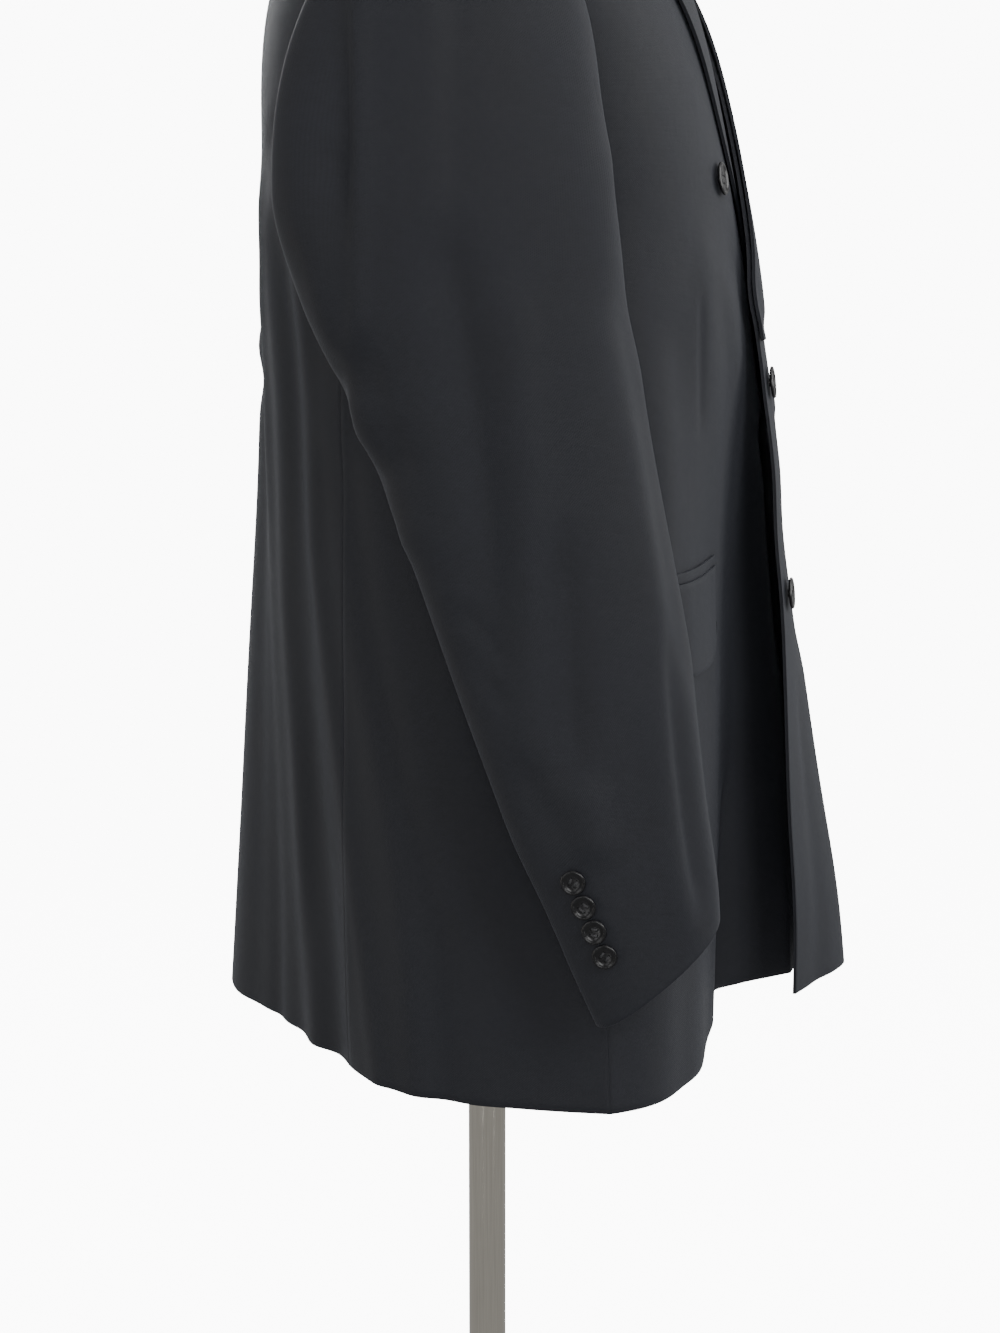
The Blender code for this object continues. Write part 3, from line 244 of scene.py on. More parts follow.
SLEEVE_RIGHT_CREASES = (
    ridge(View.RIGHT, 6, 2.0, (-58, 690), (-64, 632), (-66, 516), (-68, 470), (-76, 430), fade=30),
    ridge(View.BACK, 26, 5.5, (-228, 470), (-228, 560), (-228, 650), (-226, 720), fade=60),
    ridge(View.RIGHT, 11, -4.2, (-80, 690), (-80, 632), (-80, 590), (-80, 553), (-83, 490)),
    ridge(View.RIGHT, 6, -2.2, (-84, 560), (-84, 545), (-83, 530), fade=12),
    ridge(View.RIGHT, 8, 2.2, (-101, 600), (-98, 520), (-90, 460), (-80, 424)),
    ridge(View.RIGHT, 4.5, 1.9, (-84, 440), (-77, 417), (-66, 384), (-54, 348), (-38, 300), fade=30),
    ridge(View.RIGHT, 9, -2.2, (-74, 470), (-66, 430), (-52, 392), (-38, 350)),
    ridge(View.RIGHT, 14, -2.8, (-26, 530), (-16, 473), (-9, 418), (-2, 345), (0, 307), (-2, 240)),
    ridge(View.RIGHT, 13, 2.0, (14, 500), (20, 420), (26, 340), (26, 260), (22, 190)),
    ridge(View.RIGHT, 12, -2.4, (44, 360), (45, 307), (46, 241), (44, 195)),
    ridge(View.RIGHT, 13, 2.6, (52, 212), (57, 194), (61, 174), (66, 150), fade=22),
    ridge(View.RIGHT, 9, 1.8, (84, 430), (94, 371), (99, 290), (100, 216), (108, 150), (116, 100)),
    ridge(View.RIGHT, 7, -2.4, (104, 300), (108, 245), (116, 180), (123, 140), (126, 110)),
    ridge(View.RIGHT, 6, -1.3, (-22, 306), (-8, 290), (10, 266), fade=16),
    ridge(View.RIGHT, 6, -1.2, (-14, 280), (0, 262), (16, 240), fade=16),
    ridge(View.RIGHT, 7, 1.2, (-18, 294), (-4, 276), (14, 252), fade=16),
    ridge(View.RIGHT, 10, -1.6, (10, 230), (30, 190), (44, 160), fade=30),
    ridge(View.FRONT, 9, -2.0, (-236, 500), (-232, 420), (-236, 330), (-244, 240)),
    ridge(View.FRONT, 9, 1.7, (-216, 470), (-214, 400), (-220, 320), (-230, 230)),
    ridge(View.BACK, 9, -2.2, (-246, 450), (-232, 425), (-212, 412), fade=20),
    ridge(View.BACK, 9, 1.9, (-248, 425), (-234, 400), (-214, 388), fade=20),
    ridge(View.BACK, 9, -2.0, (-248, 396), (-236, 374), (-216, 362), fade=20),
    ridge(View.BACK, 10, 1.6, (-248, 360), (-238, 338), (-220, 326), fade=20),
    ridge(View.LEFT, 10, -2.0, (-40, 430), (0, 408), (40, 400), fade=30),
    ridge(View.LEFT, 10, 1.8, (-36, 396), (4, 374), (46, 366), fade=30),
    ridge(View.LEFT, 10, -1.8, (-30, 356), (12, 336), (56, 326), fade=30),
)


def mirrored(creases: Sequence[Crease], shift: float, strength: float) -> tuple[Crease, ...]:
    """Creases of the other side's sleeve, like these but not the same.

    Args:
        creases: creases of the wearer's right sleeve.
        shift: how far up their heights wander, in millimetres.
        strength: share of their depth.

    Returns:
        The creases, mirrored from side to side.
    """
    shift_turn, shift_start, depth_turn, depth_range = 2.1, 0.6, 1.7, 0.2
    other = []
    for number, crease in enumerate(creases):
        wander = shift * math.sin(shift_turn * number + shift_start)
        sign = 1.0 if crease.view.sideways else -1.0
        path = tuple((sign * first, height + wander) for first, height in crease.path)
        depth = crease.depth * (strength + depth_range * math.cos(depth_turn * number))
        other.append(Crease(crease.view.opposite, path, crease.width, depth, crease.fade))
    return tuple(other)


@dataclass(frozen=True)
class Axis:
    """The line inside a body or a sleeve that its cloth moves away from.

    Attributes:
        path: points (x, ahead, height) in millimetres, top to bottom or bottom to top.
        radius: the cloth's usual distance from it in metres, for its UV map.
    """

    path: Path3D
    radius: float

    def outward(self, points: np.ndarray) -> np.ndarray:
        """Unit direction away from the line at each point.

        Args:
            points: rows of x, y, z in metres.

        Returns:
            Rows of unit directions.
        """
        line = np.array([(x, -ahead, height + HEM_HEIGHT) for x, ahead, height in self.path]) * MM
        nearest = np.full(len(points), np.inf)
        away = np.zeros_like(points)
        for a, b in zip(line, line[1:]):
            share = np.clip((points - a) @ (b - a) / ((b - a) @ (b - a)), 0.0, 1.0)
            step = points - (a + share[:, None] * (b - a))
            distance = np.linalg.norm(step, axis=1)
            closer = distance < nearest
            nearest[closer] = distance[closer]
            away[closer] = step[closer]
        return away / np.linalg.norm(away, axis=1)[:, None]


BODY_AXIS = Axis(((0, 0, -100), (0, 0, 300), (0, 0, 620)), radius=0.2)
SLEEVE_LINE = (
    (222, -14, 620), (222, -14, 480), (223, 17, 380), (228, 40, 300),
    (235, 68, 200), (242, 85, 140), (247, 99, 91), (250, 112, 40),
)


def sleeve_axis(side: float) -> Axis:
    """The line inside a sleeve; side is -1 for the wearer's right and 1 for the left."""
    return Axis(tuple((side * x, ahead, height) for x, ahead, height in SLEEVE_LINE), radius=0.045)


@dataclass(frozen=True)
class CreaseField:
    """All creases of the body or of one sleeve.

    Attributes:
        axis: the line that its cloth moves away from.
        creases: the creases.
    """

    axis: Axis
    creases: tuple[Crease, ...]

    def moved(self, points: np.ndarray) -> np.ndarray:
        """Presses points into the creases.

        Args:
            points: rows of x, y, z in metres.

        Returns:
            The moved rows.
        """
        outward = self.axis.outward(points)
        push = np.zeros(len(points))
        for crease in self.creases:
            push += crease.push(points, outward)
        push = np.clip(push * CREASE_STRENGTH, -DEEPEST_TROUGH, HIGHEST_RIDGE)
        return points + outward * push[:, None] * MM


BODY_FIELD = CreaseField(BODY_AXIS, BODY_CREASES)


def sleeve_field(side: int) -> CreaseField:
    """The creases of one sleeve; side is -1 for the wearer's right and 1 for the left."""
    own = SLEEVE_RIGHT_CREASES if side < 0 else mirrored(SLEEVE_RIGHT_CREASES, shift=9.0, strength=0.85)
    return CreaseField(sleeve_axis(side), own)


@dataclass(frozen=True)
class ArmholeSeam:
    """Where a sleeve is sewn into the body: it meets the armhole and is smooth beside it.

    Attributes:
        tag: the side's word in names.
        low: height of the underarm, from which the seam is closed, in millimetres above the hem.
        ease: height below it over which the closing begins.
        flat: cloth nearer than this to the body has no creases, in millimetres.
        reach: distance from the body at which creases have their full depth.
        close: the sleeve's cloth within half this distance is drawn onto the body's, and the
            cloth from there to the whole distance in part.
    """

    tag: str
    low: float = 484.0
    ease: float = 20.0
    flat: float = 1.5
    reach: float = 13.0
    close: float = 11.0

    def nearest(self, points: np.ndarray) -> tuple[np.ndarray, np.ndarray]:
        """The nearest place on the body's cloth for each point, and its distance in millimetres."""
        places = np.empty_like(points)
        distances = np.full(len(points), np.inf)
        for name in ("front_", "back_", "side_body_"):
            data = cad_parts[name + self.tag].data
            tree = BVHTree.FromPolygons([v.co for v in data.vertices], [p.vertices for p in data.polygons])
            for number, point in enumerate(points):
                spot, _, _, distance = tree.find_nearest(Vector(point))
                if distance / MM < distances[number]:
                    distances[number] = distance / MM
                    places[number] = spot
        return places, distances

    def sewn(self, before: np.ndarray, after: np.ndarray) -> np.ndarray:
        """Keeps creases away from the seam and closes the gap along it.

        Args:
            before: the sleeve's points as they were.
            after: the same points pressed into creases.

        Returns:
            The points of the sewn sleeve.
        """
        result = after.copy()
        height = before[:, 2] / MM - HEM_HEIGHT
        upper = np.flatnonzero(height > self.low - self.ease)
        places, distances = self.nearest(before[upper])
        here = smooth_step(self.low - self.ease, self.low, height[upper])
        held = here * (1 - smooth_step(self.flat, self.reach, distances))
        drawn = here * (1 - smooth_step(self.close / 2, self.close, distances))
        moved = after[upper] + (before[upper] - after[upper]) * held[:, None]
        moved += (places - before[upper]) * drawn[:, None]
        result[upper] = moved
        return result


# ---------------------------------------------------------------------------- finishes


def node_group(name: str, inputs: dict[str, float], outputs: Sequence[str]) -> bpy.types.NodeTree:
    """Makes a shader node group with a vector input, number inputs and number outputs.

    Args:
        name: the group's name.
        inputs: number inputs with their first values.
        outputs: number outputs.

    Returns:
        The group, with its input and output nodes named "in" and "out".
    """
    tree = bpy.data.node_groups.new(name, "ShaderNodeTree")
    tree.interface.new_socket("Vector", in_out="INPUT", socket_type="NodeSocketVector")
    for label, value in inputs.items():
        socket = tree.interface.new_socket(label, in_out="INPUT", socket_type="NodeSocketFloat")
        socket.default_value = value
    for label in outputs:
        tree.interface.new_socket(label, in_out="OUTPUT", socket_type="NodeSocketFloat")
    tree.nodes.new("NodeGroupInput").name = "in"
    tree.nodes.new("NodeGroupOutput").name = "out"
    return tree


def fill(tree: bpy.types.NodeTree, node: bpy.types.Node, values: dict) -> None:
    """Fills a node's inputs.

    Args:
        tree: the node's tree.
        node: the node.
        values: for each input's name or number, a socket to link or a value to set.
    """
    for label, value in values.items():
        if isinstance(value, bpy.types.NodeSocket):
            tree.links.new(value, node.inputs[label])
        else:
            node.inputs[label].default_value = value


def add_node(
    tree: bpy.types.NodeTree, kind: str, values: Optional[dict] = None, **settings: object
) -> bpy.types.Node:
    """Adds a node to a tree.

    Args:
        tree: the tree that it joins.
        kind: its type.
        values: its inputs, as fill takes them.
        settings: attributes of the node itself, set before its inputs.

    Returns:
        The node.
    """
    node = tree.nodes.new(kind)
    for label, value in settings.items():
        setattr(node, label, value)
    fill(tree, node, values or {})
    return node


def maths(tree: bpy.types.NodeTree, operation: str, *operands: object) -> bpy.types.NodeSocket:
    """Adds a Math node.

    Args:
        tree: the tree that it joins.
        operation: what it works out.
        operands: sockets or numbers, in their order.

    Returns:
        Its result.
    """
    return add_node(tree, "ShaderNodeMath", dict(enumerate(operands)), operation=operation).outputs[0]


class SharedGroups:
    """Shader node groups that several finishes use, each built once."""

    def __init__(self) -> None:
        self.weave = self.build_weave()
        self.drift = self.build_drift()
        self.lint = self.build_lint()

    @staticmethod
    def build_weave() -> bpy.types.NodeTree:
        """Plain weave on a flat vector: threads over and under, with uneven thickness, and painted shade that
        darkens the colour where the threads lie low.
        """
        tree = node_group("woven_threads", {"Thread": 0.0006, "Slub": 0.3}, ("Height", "Shade"))
        source = tree.nodes["in"].outputs
        wobble = add_node(tree, "ShaderNodeTexNoise", {"Vector": source["Vector"], "Scale": 260.0})
        parts = add_node(tree, "ShaderNodeSeparateXYZ", {0: source["Vector"]}).outputs
        turns = maths(tree, "DIVIDE", math.pi, source["Thread"])
        across = maths(tree, "MULTIPLY", parts[0], turns)
        down = maths(tree, "SINE", maths(tree, "MULTIPLY", parts[1], turns))
        warp = maths(tree, "ABSOLUTE", maths(tree, "SINE", across))
        weft = maths(tree, "ABSOLUTE", down)
        lean = 0.2  # threads change places a little beside their edges
        offset = maths(tree, "SINE", maths(tree, "ADD", across, lean))
        over = maths(tree, "GREATER_THAN", maths(tree, "MULTIPLY", offset, down), 0.0)
        lifted = maths(tree, "MULTIPLY", warp, over)
        under = maths(tree, "MULTIPLY", weft, maths(tree, "SUBTRACT", 1.0, over))
        threads = maths(tree, "ADD", lifted, under)
        slub = maths(tree, "MULTIPLY", maths(tree, "SUBTRACT", wobble.outputs[0], 0.5), source["Slub"])
        height = maths(tree, "ADD", threads, slub)
        # Painted shade: the colour is darkest where the threads lie lowest, in the hollows between them.
        contrast, darkest = 0.35, 0.72
        shade = maths(tree, "MULTIPLY_ADD", height, contrast, darkest)
        fill(tree, tree.nodes["out"], {"Height": height, "Shade": shade})
        return tree

    @staticmethod
    def build_drift() -> bpy.types.NodeTree:
        """Slow unevenness over a surface, from wear and handling."""
        tree = node_group("tone_drift", {"Scale": 9.0, "Low": 0.85, "High": 1.15}, ("Tone", "Height"))
        source = tree.nodes["in"].outputs
        scale = {"Vector": source["Vector"], "Scale": source["Scale"]}
        noise = add_node(tree, "ShaderNodeTexNoise", {**scale, "Detail": 4.0, "Roughness": 0.55}).outputs[0]
        limits = {"From Min": 0.3, "From Max": 0.7, "To Min": source["Low"], "To Max": source["High"]}
        tone = add_node(tree, "ShaderNodeMapRange", {"Value": noise, **limits}).outputs[0]
        fill(tree, tree.nodes["out"], {"Tone": tone, "Height": noise})
        return tree

    @staticmethod
    def build_lint() -> bpy.types.NodeTree:
        """Sparse specks of lint, as a mask."""
        tree = node_group("lint_specks", {"Scale": 55.0, "Size": 0.035}, ("Mask",))
        source = tree.nodes["in"].outputs
        scale = {"Vector": source["Vector"], "Scale": source["Scale"]}
        cells = add_node(tree, "ShaderNodeTexVoronoi", scale).outputs
        chance = add_node(tree, "ShaderNodeTexWhiteNoise", {"Vector": cells["Position"]}).outputs["Value"]
        near = maths(tree, "LESS_THAN", cells["Distance"], source["Size"])
        bare_share = 0.9
        rare = maths(tree, "GREATER_THAN", chance, bare_share)
        fill(tree, tree.nodes["out"], {"Mask": maths(tree, "MULTIPLY", near, rare)})
        return tree


class Finish:
    """A material that is built once and remembered.

    Attributes:
        name: the material's name.
        groups: the node groups that finishes share.
        material: the material.
        tree: its node tree.
        shader: its Principled BSDF.
    """

    name = "finish"

    def __init__(self, groups: SharedGroups) -> None:
        self.groups = groups
        self.material = bpy.data.materials.new(self.name)
        self.material.use_nodes = True
        self.tree = self.material.node_tree
        self.shader = self.tree.nodes["Principled BSDF"]
        self.dress()

    def dress(self) -> None:
        """Adds the finish's own nodes."""

    def feed(self, values: dict) -> None:
        """Fills the shader's inputs with sockets or values."""
        fill(self.tree, self.shader, values)

    def place(self) -> bpy.types.NodeSocket:
        """A point's place in the object."""
        return add_node(self.tree, "ShaderNodeTexCoord").outputs["Object"]

    def cloth_place(self) -> bpy.types.NodeSocket:
        """A point's place on the cloth's own UV map."""
        return add_node(self.tree, "ShaderNodeUVMap", uv_map=CLOTH_UV).outputs["UV"]

    def group(
        self, tree: bpy.types.NodeTree, vector: bpy.types.NodeSocket, **values: float
    ) -> bpy.types.bpy_prop_collection:
        """Places a shared group, fed by a vector and this finish's own values.

        Args:
            tree: the group.
            vector: the vector that it reads.
            values: its number inputs.

        Returns:
            Its outputs.
        """
        return add_node(self.tree, "ShaderNodeGroup", {"Vector": vector, **values}, node_tree=tree).outputs

    def tinted(self, colour: Sequence[float], *tones: bpy.types.NodeSocket) -> bpy.types.NodeSocket:
        """A colour multiplied by one or more number sockets."""
        result: object = colour
        for tone in tones:
            inputs = {0: result, "Scale": tone}
            result = add_node(self.tree, "ShaderNodeVectorMath", inputs, operation="SCALE").outputs[0]
        return result

    def varied(self, wave: bpy.types.NodeSocket, reach: float, base: float) -> bpy.types.NodeSocket:
        """A number that changes over the surface: the base plus reach times the wave."""
        return maths(self.tree, "MULTIPLY_ADD", wave, reach, base)

    def bump(
        self, height: bpy.types.NodeSocket, strength: float, distance: float, **under: bpy.types.NodeSocket
    ) -> bpy.types.NodeSocket:
        """Adds a Bump node.

        Args:
            height: the height that it reads.
            strength: its strength.
            distance: the height's range in metres.
            under: Normal, the normal that it adds to, if there is one.

        Returns:
            The bumped normal.
        """
        inputs = {"Height": height, "Strength": strength, "Distance": distance, **under}
        return add_node(self.tree, "ShaderNodeBump", inputs).outputs[0]


class BlackWool(Finish):
    """Fine worsted with a plain weave, a soft nap and a little lint."""

    name = "black_wool"
    colour = (0.0080, 0.0087, 0.0118)
    lint_colour = (0.05, 0.05, 0.052, 1.0)

    def dress(self) -> None:
        """Weave on the cloth's own map; slow tone and lint in the object's space."""
        place = self.place()
        weave = self.group(self.groups.weave, self.cloth_place(), Thread=0.0007, Slub=0.45)
        drift = self.group(self.groups.drift, place, Scale=14.0, Low=0.9, High=1.1)
        lint = self.group(self.groups.lint, place, Scale=42.0, Size=0.014)
        # the colour takes the weave's painted shade in its hollows, then the slow tone of wear
        base = self.tinted(self.colour, weave["Shade"], drift["Tone"])
        layers = {0: lint["Mask"], 6: base, 7: self.lint_colour}
        slow = self.bump(drift["Height"], 0.35, 0.004)
        self.feed(
            {
                "Base Color": add_node(self.tree, "ShaderNodeMix", layers, data_type="RGBA").outputs[2],
                "Roughness": self.varied(drift["Height"], 0.14, 0.60),
                "Normal": self.bump(weave["Height"], 0.40, 0.0002, Normal=slow),
                "Specular IOR Level": 0.22,
                "Sheen Weight": 0.05,
                "Sheen Roughness": 0.45,
                "Sheen Tint": (0.80, 0.86, 1.0, 1.0),
            }
        )


class BlackHorn(Finish):
    """Polished dark horn with faint streaks."""

    name = "black_horn"
    colour = (0.0028, 0.0028, 0.0032)

    def dress(self) -> None:
        """Streaks in colour and in gloss."""
        streaks = self.group(self.groups.drift, self.place(), Scale=240.0, Low=0.7, High=1.9)
        self.feed(
            {
                "Base Color": self.tinted(self.colour, streaks["Tone"]),
                "Roughness": self.varied(streaks["Height"], 0.12, 0.14),
                "Normal": self.bump(streaks["Height"], 0.2, 0.0002),
                "Specular IOR Level": 0.28,
            }
        )


class BlackThread(Finish):
    """Waxed sewing thread."""

    name = "black_thread"
    colour = (0.018, 0.018, 0.02)

    def dress(self) -> None:
        """Twist of the thread, as a fine bump."""
        twist = self.group(self.groups.drift, self.place(), Scale=1400.0, Low=0.6, High=1.5)
        self.feed(
            {
                "Base Color": self.tinted(self.colour, twist["Tone"]),
                "Roughness": 0.55,
                "Normal": self.bump(twist["Height"], 0.5, 0.0002),
            }
        )


class FormCover(Finish):
    """Unbleached linen stretched over the form."""

    name = "form_cover"
    colour = (0.60, 0.565, 0.50)

    def dress(self) -> None:
        """Coarse weave and slow stains of handling."""
        weave = self.group(self.groups.weave, self.cloth_place(), Thread=0.0011, Slub=0.6)
        drift = self.group(self.groups.drift, self.place(), Scale=7.0, Low=0.9, High=1.06)
        slow = self.bump(drift["Height"], 0.2, 0.003)
        self.feed(
            {
                # the colour takes the weave's painted shade in its hollows, then the slow stains
                "Base Color": self.tinted(self.colour, weave["Shade"], drift["Tone"]),
                "Roughness": 0.85,
                "Normal": self.bump(weave["Height"], 0.6, 0.0004, Normal=slow),
                "Sheen Weight": 0.15,
            }
        )


class SatinSteel(Finish):
    """Drawn stainless steel with fine marks along its length."""

    name = "polished_steel"
    colour = (0.46, 0.435, 0.385)
    along_tube = (1.0, 1.0, 0.02)

    def dress(self) -> None:
        """Marks stretched along the tube, in gloss and bump."""
        place = self.place()
        stretched = {"Vector": place, "Scale": self.along_tube}
        long_place = add_node(self.tree, "ShaderNodeMapping", stretched).outputs[0]
        marks = self.group(self.groups.drift, long_place, Scale=900.0, Low=0.92, High=1.05)
        tone = self.group(self.groups.drift, place, Scale=12.0, Low=0.95, High=1.04)
        self.feed(
            {
                "Base Color": self.tinted(self.colour, marks["Tone"], tone["Tone"]),
                "Roughness": self.varied(marks["Height"], 0.08, 0.08),
                "Normal": self.bump(marks["Height"], 0.12, 0.0001),
                "Metallic": 1.0,
            }
        )


@dataclass
class Finishes:
    """Every finish of the part."""

    groups: SharedGroups = field(default_factory=SharedGroups)

    def __post_init__(self) -> None:
        """Builds each material once."""
        self.wool = BlackWool(self.groups).material
        self.horn = BlackHorn(self.groups).material
        self.thread = BlackThread(self.groups).material
        self.cover = FormCover(self.groups).material
        self.steel = SatinSteel(self.groups).material


# ---------------------------------------------------------------------------- meshes


def new_piece(
    name: str, mesh: bpy.types.Mesh, material: bpy.types.Material, smooth_angle: float = 35.0
) -> bpy.types.Object:
    """Links a finished mesh as a piece of the part.

    Args:
        name: the piece's name.
        mesh: its mesh, with its place in it.
        material: its only material.
        smooth_angle: edges sharper than this stay sharp, in degrees.

    Returns:
        The new object.
    """
    mesh.name = name
    mesh.materials.clear()
    mesh.materials.append(material)
    mesh.shade_smooth()
    mesh.set_sharp_from_angle(angle=math.radians(smooth_angle))
    piece = bpy.data.objects.new(name, mesh)
    bpy.context.scene.collection.objects.link(piece)
    return piece


def evaluated(piece: bpy.types.Object) -> bpy.types.Mesh:
    """A plain mesh of an object with its modifiers applied."""
    graph = bpy.context.evaluated_depsgraph_get()
    graph.update()
    return bpy.data.meshes.new_from_object(piece.evaluated_get(graph))


def coordinates(mesh: bpy.types.Mesh) -> np.ndarray:
    """The vertices of a mesh as rows of x, y, z."""
    flat = np.empty(len(mesh.vertices) * 3)
    mesh.vertices.foreach_get("co", flat)
    return flat.reshape(-1, 3)


def set_coordinates(mesh: bpy.types.Mesh, points: np.ndarray) -> None:
    """Moves the vertices of a mesh to rows of x, y, z."""
    mesh.vertices.foreach_set("co", points.ravel())
    mesh.update()


def corner_edges(mesh: bmesh.types.BMesh) -> list[bmesh.types.BMEdge]:
    """The edges at which a mesh turns more sharply than CORNER_ANGLE."""
    inner = [edge for edge in mesh.edges if len(edge.link_faces) == 2]
    return [edge for edge in inner if edge.calc_face_angle() > CORNER_ANGLE]


def recovered_grid(node: str) -> bpy.types.Mesh:
    """A CAD node's solid as quads again, with its corner edges marked to stay sharp."""
    grid = bmesh.new()
    grid.from_mesh(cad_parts[node].data)
    bmesh.ops.remove_doubles(grid, verts=grid.verts, dist=WELD_DISTANCE)
    bmesh.ops.join_triangles(grid, faces=grid.faces, **QUAD_ANGLES)
    sharp = grid.edges.layers.float.new("crease_edge")
    for edge in corner_edges(grid):
        edge[sharp] = 1.0
    mesh = bpy.data.meshes.new(node)
    grid.to_mesh(mesh)
    grid.free()
    return mesh


def smoothed(mesh: bpy.types.Mesh, levels: int) -> bpy.types.Mesh:
    """A mesh after Catmull-Clark subdivision."""
    helper = bpy.data.objects.new("helper", mesh)
    bpy.context.scene.collection.objects.link(helper)
    modifier = helper.modifiers.new("smooth", "SUBSURF")
    modifier.levels = levels
    modifier.render_levels = levels
    result = evaluated(helper)
    bpy.data.objects.remove(helper)
    return result


def closed_up(mesh: bpy.types.Mesh) -> None:
    """Brings a panel's cut edges up to its neighbours and rounds their corners."""
    panel = bmesh.new()
    panel.from_mesh(mesh)
    panel.normal_update()
    corners = corner_edges(panel)
    shifts: dict[bmesh.types.BMVert, Vector] = {}
    for edge in corners:
        narrow = min(edge.link_faces, key=lambda face: face.calc_area())
        for vert in edge.verts:
            shifts[vert] = shifts.get(vert, Vector()) + narrow.normal
    for vert, shift in shifts.items():
        if shift.length > 0.1:  # a shorter sum is of faces that look opposite ways
            vert.co += shift.normalized() * EDGE_SPREAD
    bmesh.ops.bevel(
        panel, geom=corners, offset=EDGE_ROUNDING, segments=1, affect="EDGES", clamp_overlap=True
    )
    panel.to_mesh(mesh)
    panel.free()
    mesh.update()


def map_round(mesh: bpy.types.Mesh, axis: Axis) -> None:
    """Gives a mesh a UV map in metres: distance round the axis, and height.

    Args:
        mesh: the mesh.
        axis: the line that the cloth goes round.
    """
    points = coordinates(mesh)
    outward = axis.outward(points)
    middle = outward[:, :2].mean(axis=0)
    start = math.atan2(middle[1], middle[0])
    angle = np.arctan2(outward[:, 1], outward[:, 0]) - start
    angle = (angle + math.pi) % (2 * math.pi) - math.pi
    uv = np.stack([angle * axis.radius, points[:, 2]], axis=1)
    corners = np.empty(len(mesh.loops), dtype=np.int32)
    mesh.loops.foreach_get("vertex_index", corners)
    layer = mesh.uv_layers.new(name=CLOTH_UV)
    layer.uv.foreach_set("vector", uv[corners].ravel())


def turned_rings(
    solid: bmesh.types.BMesh, profile: Sequence[tuple[float, float]], sides: int
) -> list[list[bmesh.types.BMVert]]:
    """Turns a profile about the Z axis and joins ring to ring.

    Args:
        solid: the mesh that takes the rings and the faces between them.
        profile: (radius, height) pairs, in metres.
        sides: steps round it.

    Returns:
        The rings' vertices, in the profile's order.
    """
    turns = [2 * math.pi * step / sides for step in range(sides)]
    rings = []
    for radius, height in profile:
        spots = [(radius * math.cos(turn), radius * math.sin(turn), height) for turn in turns]
        rings.append([solid.verts.new(spot) for spot in spots])
    for low, high in zip(rings, rings[1:]):
        for step in range(sides):
            after = (step + 1) % sides
            solid.faces.new((low[step], low[after], high[after], high[step]))
    return rings


def turned_mesh(name: str, profile: Sequence[tuple[float, float]], sides: int) -> bpy.types.Mesh:
    """A solid turned about the Z axis.

    Args:
        name: the mesh's name.
        profile: (radius, height) pairs from bottom to top, in millimetres.
        sides: steps round it.

    Returns:
        A closed mesh with its faces outwards.
    """
    solid = bmesh.new()
    rings = turned_rings(solid, [(radius * MM, height * MM) for radius, height in profile], sides)
    for end in (rings[0], rings[-1]):
        solid.faces.new(end)
    bmesh.ops.recalc_face_normals(solid, faces=solid.faces)
    mesh = bpy.data.meshes.new(name)
    solid.to_mesh(mesh)
    solid.free()
    return mesh


def rounded(
    profile: Sequence[tuple[float, float]], radius: float, steps: int = 4
) -> list[tuple[float, float]]:
    """Rounds the inner corners of a turned profile.

    Args:
        profile: (radius, height) pairs.
        radius: how far each corner is cut back, in millimetres.
        steps: points on each rounded corner.

    Returns:
        The longer profile.
    """
    share = 2.2  # two roundings on one line never meet
    result = [profile[0]]
    for before, corner, after in zip(profile, profile[1:], profile[2:]):
        a, b, c = (np.array(point, float) for point in (before, corner, after))
        cut = min(radius, np.linalg.norm(a - b) / share, np.linalg.norm(c - b) / share)
        start = b + (a - b) / np.linalg.norm(a - b) * cut
        end = b + (c - b) / np.linalg.norm(c - b) * cut
        for step in range(steps + 1):
            t = step / steps
            point = start * (1 - t) ** 2 + b * 2 * t * (1 - t) + end * t**2
            result.append((float(point[0]), float(point[1])))
    result.append(profile[-1])
    return result


# ---------------------------------------------------------------------------- jacket


@dataclass(frozen=True)
class ClothPiece:
    """One piece that the jacket is sewn from.

    Attributes:
        node: its CAD node.
        width: width of its cut where it shows, in metres; not used.
        length: length of that cut in metres; not used.
        area: flat area of its cut in square metres; not used.
        levels: how often its grid is halved.
        hold: how the cloth is held; not used.
        rests_on: nodes or pieces that carry it; not used.
    """

    node: str
    width: float
    length: float
    area: float
    levels: int = 3
    hold: Hold = Hold.DRAPED
    rests_on: tuple[str, ...] = ("form_torso",)

    def build(
        self, creases: CreaseField, wool: bpy.types.Material, seam: Optional[ArmholeSeam] = None
    ) -> bpy.types.Object:
        """Args:
            creases: the creases that it is pressed into.
            wool: its material.
            seam: the armhole that it is sewn into.

        Returns:
            The piece.
        """
        mesh = smoothed(recovered_grid(self.node), self.levels)
        closed_up(mesh)
        map_round(mesh, creases.axis)
        before = coordinates(mesh)
        after = creases.moved(before)
        set_coordinates(mesh, seam.sewn(before, after) if seam else after)
        piece = new_piece(self.node + "_cloth", mesh, wool, smooth_angle=60)
        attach(piece, ROOT)
        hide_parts(self.node)
        LOG.info("%s: %d faces", piece.name, len(mesh.polygons))
        return piece


